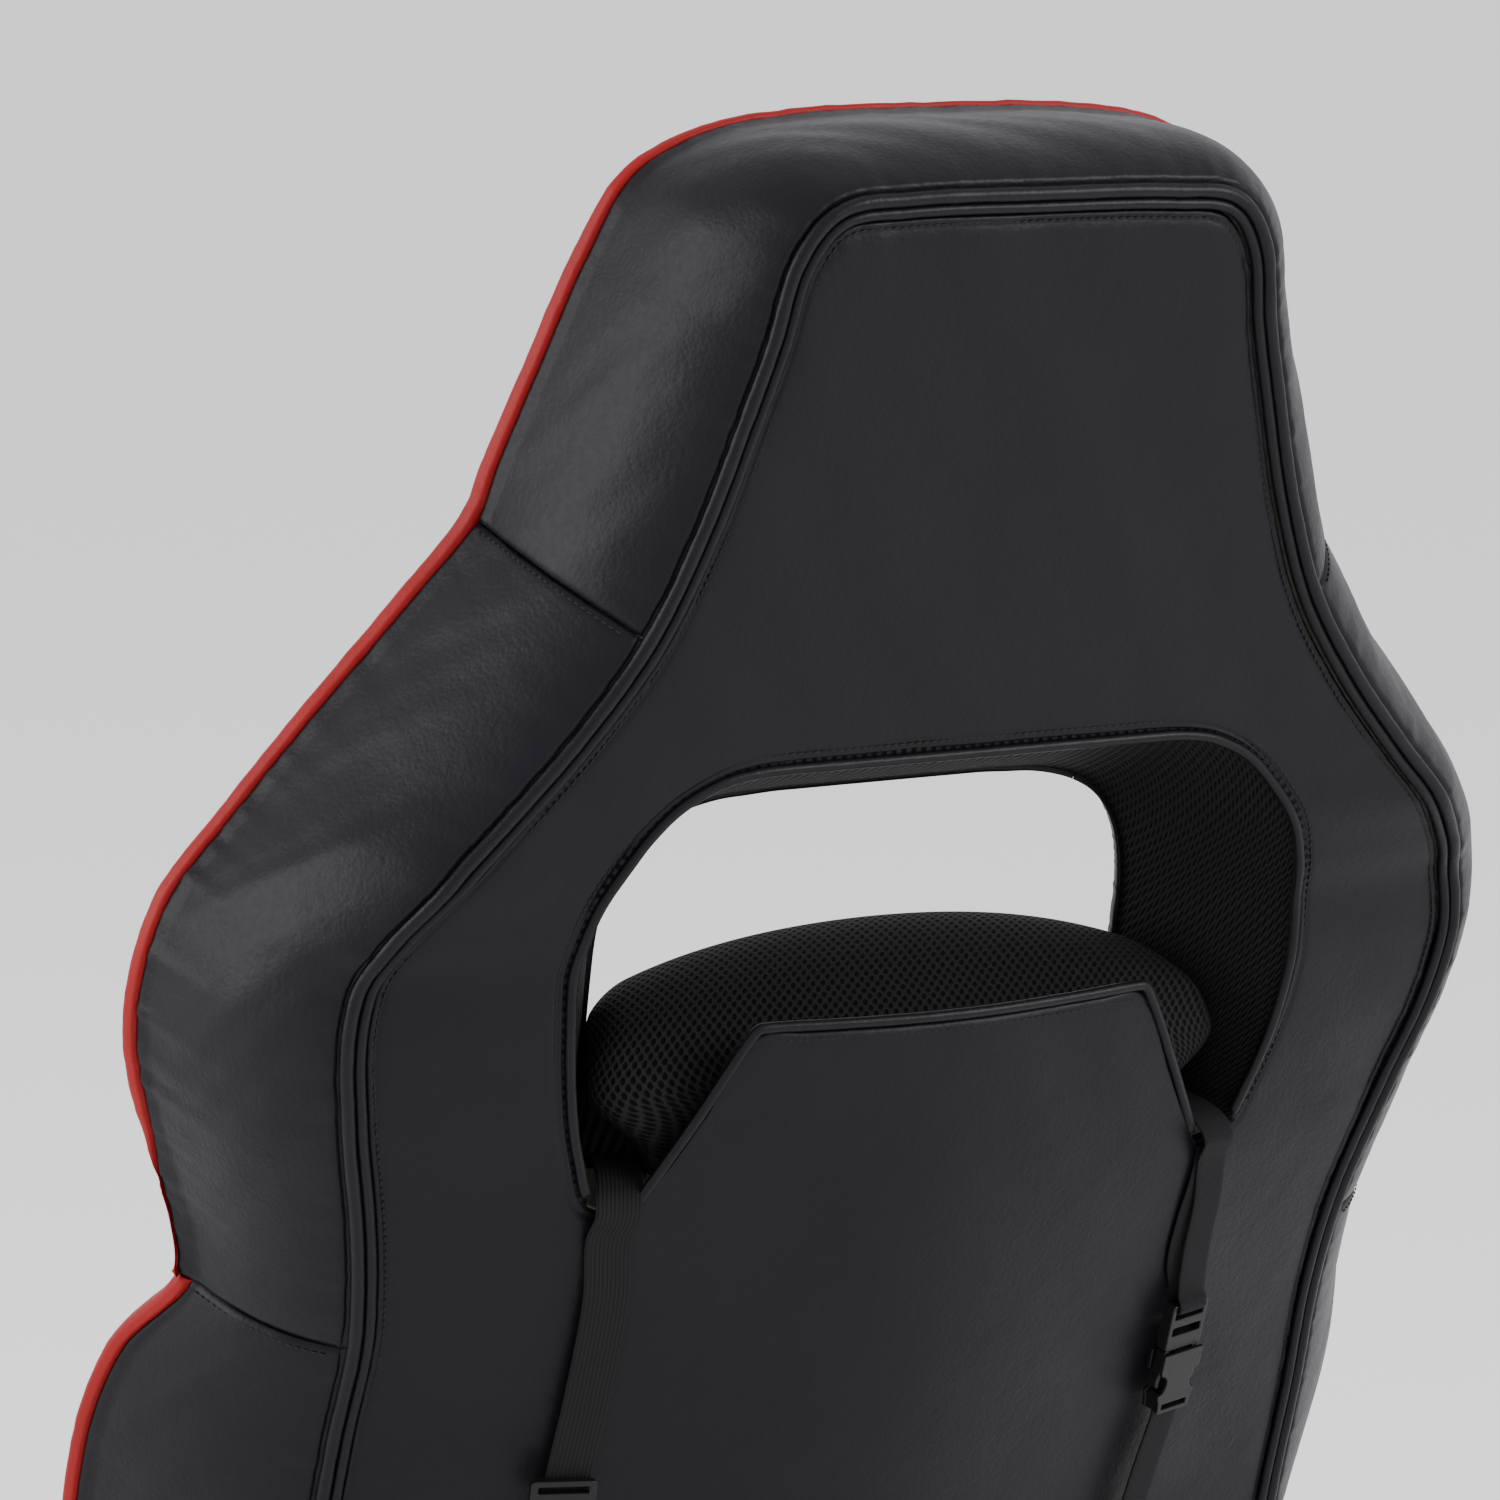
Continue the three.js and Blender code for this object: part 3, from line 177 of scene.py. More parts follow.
# %% [markdown]
# ## Mesh, webbing and thread
# Spacer mesh is knitted polyester with open cells in staggered rows, 4 mm apart. The cells are dark
# because the light is lost in the layers below. Cell noise with no randomness makes a square net, and
# turning it by 45 degrees staggers the rows. The pattern lies on each piece's own UV map, in metres.

# %% Spacer mesh
CELL_ACROSS = 0.0042
CELL_UP = 0.0056


def spacer_mesh(name, hole, thread):
    """Knitted and heat-set: dull threads round dark cells, with a faint sheen."""
    material, tree, shader = new_material(name)
    sheet = add_node(tree, "ShaderNodeUVMap", uv_map="cut").outputs[0]
    turned = add_node(tree, "ShaderNodeMapping", {
        "Vector": sheet, "Rotation": (0, 0, math.pi / 4),
        "Scale": (math.sqrt(2) / CELL_ACROSS, math.sqrt(2) / CELL_UP, 1)})
    cells = add_node(tree, "ShaderNodeTexVoronoi", {"Vector": turned.outputs[0], "Scale": 1, "Randomness": 0},
                     voronoi_dimensions="2D")
    ends = {"Value": cells.outputs["Distance"], "From Min": 0.2, "From Max": 0.46}
    open_cell = add_node(tree, "ShaderNodeMapRange", ends, interpolation_type="SMOOTHSTEP").outputs[0]
    place = add_node(tree, "ShaderNodeTexCoord").outputs["Object"]
    sunk = relief(tree, open_cell, 0.9, 0.0012)
    set_inputs(tree, shader, {
        "Base Color": blend_colours(tree, open_cell, hole, thread),
        "Roughness": between(tree, open_cell, 1.0, 0.72),
        "Normal": relief(tree, noise(tree, place, 0.0012, 2), 0.4, 0.0004, sunk), "Specular IOR Level": 0.14})
    return material


mesh_cloth = spacer_mesh("spacer mesh black", "#010102", "#121213")


# %% Webbing
def webbing(name, dark, light, rib, pick):
    """Woven polyester: ribs run along the strap, rib apart, and picks cross it, pick apart."""
    material, tree, shader = new_material(name)
    strap_uv = add_node(tree, "ShaderNodeUVMap", uv_map="cut").outputs[0]
    ways = add_node(tree, "ShaderNodeSeparateXYZ", {"Vector": strap_uv}).outputs

    def maths(operation, *values):
        return add_node(tree, "ShaderNodeMath", dict(enumerate(values)), operation=operation).outputs[0]
    ribs = maths("SINE", maths("MULTIPLY", ways[0], 2 * math.pi / rib))
    picks = maths("SINE", maths("MULTIPLY", ways[1], 2 * math.pi / pick))
    weave = maths("MULTIPLY_ADD", maths("MULTIPLY", ribs, picks), 0.5, ribs)
    ends = {"Value": weave, "From Min": -1.4, "From Max": 1.4}
    share = add_node(tree, "ShaderNodeMapRange", ends).outputs[0]
    set_inputs(tree, shader, {
        "Base Color": blend_colours(tree, share, dark, light), "Roughness": 0.72,
        "Normal": relief(tree, share, 0.7, 0.0005), "Specular IOR Level": 0.15})
    return material


elastic = webbing("woven elastic black", "#070708", "#141415", 0.0016, 0.0011)
smooth_webbing = webbing("woven polyester webbing black", "#08080a", "#121214", 0.0009, 0.0009)


# %% Thread, plastic, metal, wood and foam
def plain_finish(name, dark, light, size, rough, height, level=0.5, metallic=0.0, stretch=(1, 1, 1)):
    """A finish with one noise: colour and roughness drift over it, and it lifts the surface by height."""
    material, tree, shader = new_material(name)
    place = add_node(tree, "ShaderNodeTexCoord").outputs["Object"]
    long_way = add_node(tree, "ShaderNodeMapping", {"Vector": place, "Scale": stretch}).outputs[0]
    drift = noise(tree, long_way, size, 4)
    set_inputs(tree, shader, {
        "Base Color": blend_colours(tree, drift, dark, light), "Roughness": between(tree, drift, *rough),
        "Normal": relief(tree, drift, 0.5, height), "Metallic": metallic, "Specular IOR Level": level})
    return material


# bonded polyester thread, twisted: dull with a slight sheen
thread = plain_finish("polyester thread black", "#0c0b0e", "#17161a", 0.0006, (0.6, 0.8), 0.0003, 0.25)
# moulded acetal: satin, with the spark-eroded texture of its mould
acetal = plain_finish("moulded acetal black", "#0a0a0b", "#111112", 0.0012, (0.3, 0.44), 0.0002, 0.22)
# moulded ABS: a little coarser texture
abs_plastic = plain_finish("moulded ABS black", "#0d0d0f", "#141416", 0.0016, (0.4, 0.56), 0.0004, 0.35)
# powder coat: baked epoxy with a faint orange peel
powder_coat = plain_finish("powder-coated steel black", "#0d0d0f", "#141416", 0.0022, (0.36, 0.5), 0.0005,
                           0.4)
# zinc plate: grey, brushed by handling
zinc = plain_finish("zinc-plated steel", "#9b9da0", "#bdbfc2", 0.0015, (0.28, 0.46), 0.0001, metallic=1.0)
# poplar plywood: long grain on the face veneer
plywood = plain_finish("poplar plywood", "#9a7748", "#c39c68", 0.006, (0.55, 0.75), 0.0004,
                       stretch=(1, 0.06, 6))
# moulded polyurethane foam: open skin
foam = plain_finish("moulded polyurethane foam", "#7d7a72", "#9c988e", 0.004, (0.9, 1.0), 0.0012)
print(len(bpy.data.materials), "materials")

# %% [markdown]
# ## The shape of the back
# The back has its own axes: x to the side, depth in front of its rear plane, height above the recline
# axis, all in millimetres. It leans back 12.2 degrees. Its outline is given in rows down one side;
# smooth curves through the rows, mirrored, make four closed loops: the edge of the rear panel, the
# front edge, and the opening at the rear and at the front.

# %% The back's rows
LEAN = math.radians(12.2)
HINGE = np.array([0.0, -245.0, 115.0])
HINGE_DEPTH = 52
MOUTH_DEPTH = 74
# edge of the rear panel x, height | front edge x, height, depth | rim x, height | mouth x, height
ROWS = np.array([
    [0, 742.5, 0, 761, 88, 0, 537, 0, 496], [55, 742, 58, 760, 88, 15, 537, 18, 496],
    [80, 739, 97, 754, 88, 30, 537, 34, 496], [91, 725, 126, 739, 88, 42, 537, 46, 496],
    [97.5, 696, 143, 709, 88, 54, 537, 57, 495.5], [105.5, 668, 158, 669, 88, 66, 537, 68, 495],
    [118.5, 626, 172, 631, 88, 79, 537, 79, 493], [136, 585, 178, 611, 89, 92, 536.5, 88, 490],
    [161, 549, 200, 579, 93, 106, 534, 97, 485], [188, 518, 236, 531, 98, 124, 525, 104, 478],
    [211, 493, 262, 495, 101, 140, 509, 110, 468], [228, 466, 284, 464, 102, 152, 491, 113.5, 457],
    [234.5, 440, 293.5, 425, 102, 159, 466, 115.5, 444], [231, 405, 291, 393, 102, 160, 438, 116, 426],
    [222, 365, 280, 360, 100, 156, 405, 116, 406], [215.5, 330, 270, 331, 97, 150, 382, 116, 384],
    [212.5, 301, 268, 309, 96, 142, 363, 114, 366], [214, 255, 284, 270, 120, 128, 358, 106, 358],
    [215.5, 215, 292, 220, 132, 112, 358, 92, 358], [213, 160, 286, 165, 136, 95, 358, 76, 358],
    [210, 112, 228, 112, 118, 75, 358, 60, 358], [208, 50, 222, 45, 104, 55, 358, 45, 358],
    [200, -8, 214, -10, 97, 38, 358, 31, 358], [150, -26, 165, -34, 97, 20, 358, 16, 358],
    [0, -28, 0, -36, 97, 0, 358, 0, 358]], float)
TONGUE = np.array([[142, 363], [122, 359], [109, 383], [97, 407], [84, 431], [63, 432], [42, 432], [21, 432],
                   [0, 432]], float)
NECK = 7
NOTCH = 16
LAST = len(ROWS) - 1
LOOP = 2 * LAST


# %% Curves
def unit(v):
    """Directions of length one."""
    return v / np.maximum(np.linalg.norm(v, axis=-1, keepdims=True), 1e-9)


def smooth_curve(points, closed=True):
    """A curve through points. Between two of them runs a cubic, whose end slopes weigh the chords
    on both sides by the square roots of their lengths. It is read at k, counted in points."""
    p = np.asarray(points, float)
    if closed:
        before, after, beyond = np.roll(p, 1, 0), np.roll(p, -1, 0), np.roll(p, -2, 0)
    else:
        whole = np.vstack([2 * p[0] - p[1], p, 2 * p[-1] - p[-2]])
        before, after, beyond, p = whole[:-3], whole[2:-1], whole[3:], p[:-1]

    def stride(a, b):
        return np.maximum(np.linalg.norm(b - a, axis=1, keepdims=True), 1e-4) ** 0.5
    d0, d1, d2 = stride(before, p), stride(p, after), stride(after, beyond)
    start = ((p - before) / d0 - (after - before) / (d0 + d1) + (after - p) / d1) * d1
    end = ((after - p) / d1 - (beyond - p) / (d1 + d2) + (beyond - after) / d2) * d1
    square = -3 * p + 3 * after - 2 * start - end
    cube = 2 * p - 2 * after + start + end

    def read(k):
        k = np.asarray(k, float)
        k = k % len(p) if closed else np.clip(k, 0, len(p) - 1e-9)
        i = np.floor(k).astype(int) % len(p)
        w = (k - np.floor(k))[..., None]
        return p[i] + w * (start[i] + w * (square[i] + w * cube[i]))
    return read


def both_sides(x, depth, height):
    """Points down the right side and up the left."""
    right = np.stack([x, depth, height], 1)
    left = right[-2:0:-1] * [-1, 1, 1]
    return np.vstack([right, left])


flat = np.zeros(len(ROWS))
EDGE = smooth_curve(both_sides(ROWS[:, 0], flat, ROWS[:, 1]))
FRONT = smooth_curve(both_sides(ROWS[:, 2], ROWS[:, 4], ROWS[:, 3]))
RIM = smooth_curve(both_sides(ROWS[:, 5], flat, ROWS[:, 6]))
MOUTH = smooth_curve(both_sides(ROWS[:, 7], flat + MOUTH_DEPTH, ROWS[:, 8]))
hole_rows = np.vstack([ROWS[:NOTCH, 5:7], TONGUE])
HOLE = smooth_curve(both_sides(hole_rows[:, 0], flat, hole_rows[:, 1]))
ring = EDGE(np.linspace(0, LOOP, 2000))
print("edge of the rear panel", round(np.linalg.norm(np.diff(ring, axis=0), axis=1).sum()), "mm round")

# %% [markdown]
# The rear surface is flat behind the head. Below it, wings turn forward from a round spine. Two
# tables by height give the depth of the spine and how much further forward the surface is at 230 mm
# from the middle. Between entries the tables rise and fall without overshooting.

# %% Depth of the rear surface
SPINE = [[770, 0], [515, 0], [465, -9], [431, -14], [365, -13.5], [305, -10], [235, -3], [155, 6], [55, 10],
         [-60, 8]]
WING = [[770, 0], [505, 0], [478, 13], [455, 24], [412, 27], [365, 35.5], [314, 44], [255, 50], [155, 44],
        [70, 22], [-60, 10]]


def eased(table):
    """Cubic steps through a table; an inner slope is the harmonic mean of its neighbours' slopes."""
    height, value = np.array(table[::-1], float).T
    rise = np.diff(value) / np.diff(height)
    pair = rise[1:] * rise[:-1]
    slope = np.zeros(len(height))
    slope[1:-1] = np.where(pair > 0, 2 * pair / np.where(pair > 0, rise[1:] + rise[:-1], 1), 0)

    def read(h):
        h = np.clip(h, height[0], height[-1])
        i = np.clip(np.searchsorted(height, h, "right") - 1, 0, len(height) - 2)
        length = height[i + 1] - height[i]
        t = (h - height[i]) / length
        return (value[i] + (value[i + 1] - value[i]) * t * t * (3 - 2 * t)
                + length * t * (1 - t) * ((1 - t) * slope[i] - t * slope[i + 1]))
    return read


spine, wing = eased(SPINE), eased(WING)


def rear_depth(x, h):
    """Spine's depth plus the wing's, which grows as the hypotenuse of x and 40 mm."""
    return spine(h) + wing(h) * (np.hypot(x, 40) - 40) / (math.hypot(230, 40) - 40)


def slope_across(x, h):
    return (rear_depth(x + 8, h) - rear_depth(x - 8, h)) / 16


def slope_up(x, h):
    return (rear_depth(x, h + 20) - rear_depth(x, h - 20)) / 40


def in_room(p):
    """Points on the back's axes in mm, turned by the lean and moved to the room in metres."""
    p = np.asarray(p, float)
    depth, height = p[..., 1] - HINGE_DEPTH, p[..., 2]
    y = depth * math.cos(LEAN) - height * math.sin(LEAN)
    z = depth * math.sin(LEAN) + height * math.cos(LEAN)
    return (np.stack([p[..., 0], y, z], -1) + HINGE) / 1000


# %% [markdown]
# ## Faces of the back
# Each face is a function of k, the place round the loops counted in rows, and v, the way across from
# 0 to 1. Inset moves it inwards. The side face has a full roll next to the piping, and the front face
# is crowned.

# %% Faces
PIPE_INNER = 4.4
PIPE_OUTER = 5.4
BAND = PIPE_INNER + PIPE_OUTER


def outward(curve, k):
    """Direction out of a loop, in the plane of the back: the run of the loop turned by 90 degrees."""
    run = curve(k + 0.25) - curve(k - 0.25)
    out = np.stack([-run[..., 2], np.zeros_like(run[..., 0]), run[..., 0]], -1)
    return unit(out)


def on_rear(p, inset=0.0):
    p = np.array(p, float)
    p[..., 1] = rear_depth(p[..., 0], p[..., 2]) + inset
    return p


def mix(a, b, share):
    return a + (b - a) * np.asarray(share)[..., None]


def rear_face(k, v, inset=0.0):
    return on_rear(mix(HOLE(k), EDGE(k) - 0.3 * outward(EDGE, k), v), inset)


def side_face(k, v, inset=0.0):
    n = outward(EDGE, k)
    start = on_rear(EDGE(k) + BAND * n)
    roll = 9 * np.sin(np.pi * np.minimum(1, 1.15 * np.clip(v, 0, 1)) ** 0.7)
    return mix(start, FRONT(k), v) + (roll - inset)[..., None] * n


def front_face(k, v, inset=0.0):
    p = mix(FRONT(k), MOUTH(k), v)
    p[..., 1] += 14 * np.sin(np.pi * np.clip(v, 0, 1) ** 0.6) - inset
    return p


def tunnel_face(k, v, inset=0.0):
    return mix(MOUTH(k), on_rear(RIM(k)), v) + np.asarray(inset)[..., None] * outward(RIM, k)


# %% [markdown]
# ## From surfaces to meshes
# A cover is a thin wall: its outer surface, the same surface moved in, and strips that close the
# border. The whole net of faces is worked out with index arrays. The UV map is each point's distance
# along the two ways of the net, in metres.

# %% Mesh helpers
def lengths(grid, axis):
    """Distance run along one way of a net, in the net's own unit."""
    step = np.linalg.norm(np.diff(grid, axis=axis), axis=-1)
    zero = np.zeros_like(np.take(step, [0], axis=axis))
    return np.concatenate([zero, np.cumsum(step, axis=axis)], axis=axis)


def make_piece(name, node, points, faces, material, body="back", uv=None):
    """Puts points in metres and four-cornered faces into a mesh, facing out by its signed volume."""
    a, b, c, d = (points[faces[:, i]] for i in range(4))
    volume = np.einsum("ij,ij->", a, np.cross(b, c)) + np.einsum("ij,ij->", a, np.cross(c, d))
    faces = faces if volume > 0 else faces[:, ::-1]
    mesh = bpy.data.meshes.new(name)
    mesh.from_pydata(points.tolist(), [], faces.tolist())
    if uv is not None:
        layer = mesh.uv_layers.new(name="cut")
        layer.data.foreach_set("uv", uv[faces.ravel()].ravel())
    mesh.validate()
    mesh.polygons.foreach_set("use_smooth", np.ones(len(mesh.polygons), bool))
    mesh.materials.append(material)
    made = put(name, mesh)
    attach(made, body)
    if node:
        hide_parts(node)
    return made


def net(rows, columns, first=0, around=False, closed=False):
    """Faces of a net of points; around joins its last row to its first, closed its columns."""
    i = np.arange(rows if around else rows - 1)[:, None]
    j = np.arange(columns if closed else columns - 1)[None, :]
    i2, j2 = (i + 1) % rows, (j + 1) % columns
    quads = np.stack([i * columns + j, i2 * columns + j, i2 * columns + j2, i * columns + j2], -1)
    return quads.reshape(-1, 4) + first


def wall(name, node, outer, inner, material, around=False):
    """A closed wall between two nets on the back's axes: the section is a ring of both nets' rows."""
    rows, columns = outer.shape[:2]
    section = np.concatenate([outer, inner[:, ::-1]], axis=1)
    faces = [net(rows, 2 * columns, around=around, closed=True)]
    if not around:
        j = np.arange(columns - 1)
        for row, flip in ((0, 1), (rows - 1, -1)):
            at = row * 2 * columns
            cap = np.stack([at + j, at + j + 1, at + 2 * columns - 2 - j, at + 2 * columns - 1 - j], 1)
            faces.append(cap[:, ::flip])
    u, v = lengths(outer, 0) / 1000, lengths(outer, 1) / 1000
    uv = np.stack([u, v], -1)
    uv = np.concatenate([uv, uv[:, ::-1]], axis=1).reshape(-1, 2)
    return make_piece(name, node, in_room(section.reshape(-1, 3)), np.vstack(faces), material, uv=uv)


def normals(grid, inside):
    """Unit normals of a net, away from the net inside."""
    n = unit(np.cross(np.gradient(grid, axis=0), np.gradient(grid, axis=1)))
    return n * np.sign(((grid - inside) * n).sum(-1, keepdims=True) + 1e-12)


def crowded(n, strength=0.8):
    """n numbers from 0 to 1 that crowd towards both ends, where covers turn in."""
    t = np.linspace(0, 1, n)
    return t - strength * np.sin(2 * np.pi * t) / (2 * np.pi)


def turned_in(d, radius):
    """How far a cover drops at distance d from its seam: a quarter circle of that radius."""
    near = np.clip(1 - d / radius, 0, 1)
    return radius * (1 - np.sqrt(np.maximum(1 - near ** 2, 0)))


def waves(s, period, seed):
    """Uneven waves about -1 to 1: six sines whose periods and phases are drawn from a seed."""
    draw = np.random.default_rng(seed)
    total = np.zeros_like(s, dtype=float)
    for share in np.linspace(0.6, 1.9, 6):
        total += np.sin(2 * np.pi * s / (period * share * draw.uniform(0.9, 1.1)) + draw.uniform(0, 6.28))
    return total / 3


def swept(path, side, rise, u, w, size, girth):
    """Sections across a path, each closed end a point. u and w draw the section along the directions
    side and rise, size scales it, and girth is the way round it, for the UV map."""
    ends = np.r_[0, 0:len(path), len(path) - 1]
    size = size[ends]
    size[[0, -1]] = 0
    ring = path[ends, None] + size[:, None, None] * (u[None, :, None] * side[ends, None]
                                                     + w[None, :, None] * rise[ends, None])
    uv = np.stack(np.broadcast_arrays(girth[None], lengths(path, 0)[ends, None]), -1).reshape(-1, 2) / 1000
    return ring.reshape(-1, 3), net(len(ends), len(u), closed=True), uv


def cord(name, node, path, width, uneven=0.02):
    """A round cord in the rear surface: its side direction is the cross product of run and depth."""
    run = unit(np.gradient(path, axis=0))
    side = unit(np.cross(run, [0, 1, 0]))
    turn = np.linspace(0, 2 * np.pi, 14, endpoint=False)
    size = width / 2 * (1 + uneven * waves(lengths(path, 0), 17, len(name)))
    size[[0, -1]] = size[[1, -2]]
    points, faces, uv = swept(path, side, np.cross(side, run), np.cos(turn), np.sin(turn), size,
                              turn * width / 2)
    make_piece(name, node, in_room(points), faces, piping_leather, uv=uv)


# %% Stitches
STITCH = 3.3
STITCH_SHAPE = (2.4, 0.8, 0.7)
GRAIN_RINGS, GRAIN_SIDES = 5, 6


def stitch_row(path, out):
    """Stitches along a path: each is a grain-shaped net, its width falling as the root of the sine
    of its length angle, laid along the run and standing out of the cover."""
    s = lengths(path, 0)
    places = np.arange(STITCH / 2, s[-1], STITCH)

    def at(values, where):
        return np.stack([np.interp(where, s, values[:, i]) for i in range(3)], 1)
    centre, up = at(path, places), at(out, places)
    run = unit(at(path, places + 0.5) - centre)
    up = unit(up - (up * run).sum(1, keepdims=True) * run)
    side = np.cross(run, up)
    a, b = np.meshgrid(np.linspace(0, np.pi, GRAIN_RINGS),
                       np.linspace(0, 2 * np.pi, GRAIN_SIDES, endpoint=False), indexing="ij")
    width = np.sqrt(np.sin(a).clip(0))
    grain = np.stack([np.cos(a), width * np.cos(b), width * np.sin(b)], -1)
    grain = grain.reshape(-1, 3) * np.array(STITCH_SHAPE) / 2
    points = centre[:, None] + (grain[None, :, :1] * run[:, None] + grain[None, :, 1:2] * side[:, None]
                                + grain[None, :, 2:] * up[:, None])
    one = net(GRAIN_RINGS, GRAIN_SIDES, closed=True)
    faces = one[None] + np.arange(len(places))[:, None, None] * len(grain)
    return points.reshape(-1, 3), faces.reshape(-1, 4)


def stitching(name, rows):
    """Joins several rows of stitches into one piece."""
    points, faces, first = [], [], 0
    for path, out in rows:
        p, f = stitch_row(path, out)
        points.append(p)
        faces.append(f + first)
        first += len(p)
    make_piece(name, None, in_room(np.vstack(points)), np.vstack(faces), thread)
    print(name, first // (GRAIN_RINGS * GRAIN_SIDES), "stitches")


REARWARD = np.array([0.0, -1.0, 0.0])

# %% [markdown]
# ## Rear panel
# The rear panel is leather over a thin board. It is sewn to the piping all round, so it sinks a
# little towards the seam, turns in beside the cord, and has a groove where the top stitching pulls.
# One net runs from the opening and the tongue out to the edge.

# %% Rear panel
PANEL_T = 6
SEAM_LINE = 3.4


def rear_sink(d_edge, d_hole):
    """Drop of the panel: soft falls towards both seams, quarter circles beside them and a groove."""
    groove = np.exp(-((d_edge - SEAM_LINE) / 1.2) ** 2) + np.exp(-((d_hole - SEAM_LINE) / 1.2) ** 2)
    return (1.5 * np.exp(-d_edge / 13) + 0.8 * np.exp(-d_hole / 9) + turned_in(d_edge, 1.8)
            + turned_in(d_hole, 1.8) + 0.55 * groove)


kk, vv = np.meshgrid(np.arange(0, LOOP, 1 / 9), crowded(46), indexing="ij")
base = rear_face(kk, vv)
from_hole = lengths(base, 1)
from_edge = from_hole[:, -1:] - from_hole
along_edge = lengths(base[:, -1], 0)[:, None]
puckers = 0.35 * waves(along_edge, 9, 5) * np.exp(-from_edge / 7) * (from_edge > 0.5)
ripple = 0.45 * waves(base[..., 0] + 0.6 * base[..., 2], 90, 3)
outer = base.copy()
outer[..., 1] += rear_sink(from_edge, from_hole) + puckers + ripple
inner = on_rear(base, PANEL_T - 0.5)
rear_leather = wall("rear_leather", "rear_panel", outer, inner, black_leather, around=True)
print("rear panel", len(rear_leather.data.polygons), "faces")

# %% [markdown]
# ## Piping
# Two cords run side by side round the panel: a thin one in its seam and a thicker one that the side
# cover rolls against. A single cord rims the opening and the tongue.

# %% Piping
PIPE_SINK = 0.6


def beside(curve, k, offset, inset=PIPE_SINK):
    return on_rear(curve(k) + offset * outward(curve, k), inset)


k = np.linspace(-LAST + 0.02, LAST - 0.02, 620)
cord("piping_thin", "piping_inner", beside(EDGE, k, PIPE_INNER / 2), PIPE_INNER)
cord("piping_thick", "piping_outer", beside(EDGE, k, PIPE_INNER + PIPE_OUTER / 2), PIPE_OUTER + 0.2, 0.03)

RIM_CORD = 4.2
k = np.linspace(-NOTCH + 0.25, NOTCH - 0.25, 300)
cord("piping_rim", "rim_piping", beside(RIM, k, -RIM_CORD / 2 - 0.3), RIM_CORD)

corner, foot = TONGUE[4], TONGUE[1]
tongue_side = (foot - corner) / np.linalg.norm(foot - corner)
TONGUE_OFF = RIM_CORD / 2 + 0.5


def tongue_line(off):
    """The tongue's outline moved out by off: up its slanted side, round its corner, along its top."""
    start = foot + off * np.array([-tongue_side[1], tongue_side[0]])
    end = corner + off * np.array([-tongue_side[1], tongue_side[0]])
    rise = corner[1] + 1 + off
    turn = end + tongue_side * (rise - end[1]) / tongue_side[1]
    half = [mix(start, end, 0.05), mix(start, end, 0.5), mix(start, turn, 0.9), turn + [-0.9, -0.6],
            [turn[0] - 5, rise], [55, rise], [25, rise]]
    half = np.array([[x, 0, h] for x, h in half])
    whole = smooth_curve(np.vstack([half, half[::-1] * [-1, 1, 1]]), closed=False)
    return whole(np.linspace(0, 2 * len(half) - 1, 240))


cord("piping_tongue", "tongue_piping", on_rear(tongue_line(TONGUE_OFF), PIPE_SINK), RIM_CORD)

# %% Stitching of the rear panel
k = np.linspace(0, LOOP, 1500)
edge_row = beside(EDGE, k, -SEAM_LINE, 1.4)
k = np.linspace(-NOTCH + 0.6, NOTCH - 0.6, 700)
rim_row = beside(RIM, k, SEAM_LINE, 0.85)
tongue_row = on_rear(tongue_line(-SEAM_LINE), 0.85)
rows = [(row, np.broadcast_to(REARWARD, row.shape)) for row in (edge_row, rim_row, tongue_row)]
stitching("stitching_rear", rows)

# %% [markdown]
# ## Side covers
# The sides are five pieces of leather on soft foam, sewn end to end at the neck and at the waist.
# Each rolls out of the piping, and puckers gather where it is sewn to a curved seam. Wide slow waves
# stand for padding that is never quite even.

# %% Side covers
GUSSET_T = 5

def smoothstep(t):
    return t * t * (3 - 2 * t)


def red_width(k):
    """How far the red border comes round the front edge, in mm: less at the top, hidden above the
    waist, where the border dives into the seam."""
    row = np.abs((np.asarray(k, float) + LAST) % LOOP - LAST)
    top = 2.4 + 3.8 * np.clip(row / 4, 0, 1)
    fade = np.clip((row - 13.2) / 1.5, 0, 1)
    above = top * (1 - smoothstep(fade)) - fade
    return np.where(row < NOTCH, above, 6.2)


def side_span(k):
    return np.linalg.norm(FRONT(k) - on_rear(EDGE(k) + BAND * outward(EDGE, k)), axis=-1)


def distances(base, column):
    """On a net: from its first column, from its last, from the nearer end, and along one column."""
    d0, s = lengths(base, 1), lengths(base, 0)
    return d0, d0[:, -1:] - d0, np.minimum(s, s[-1:] - s), s[:, column][:, None]


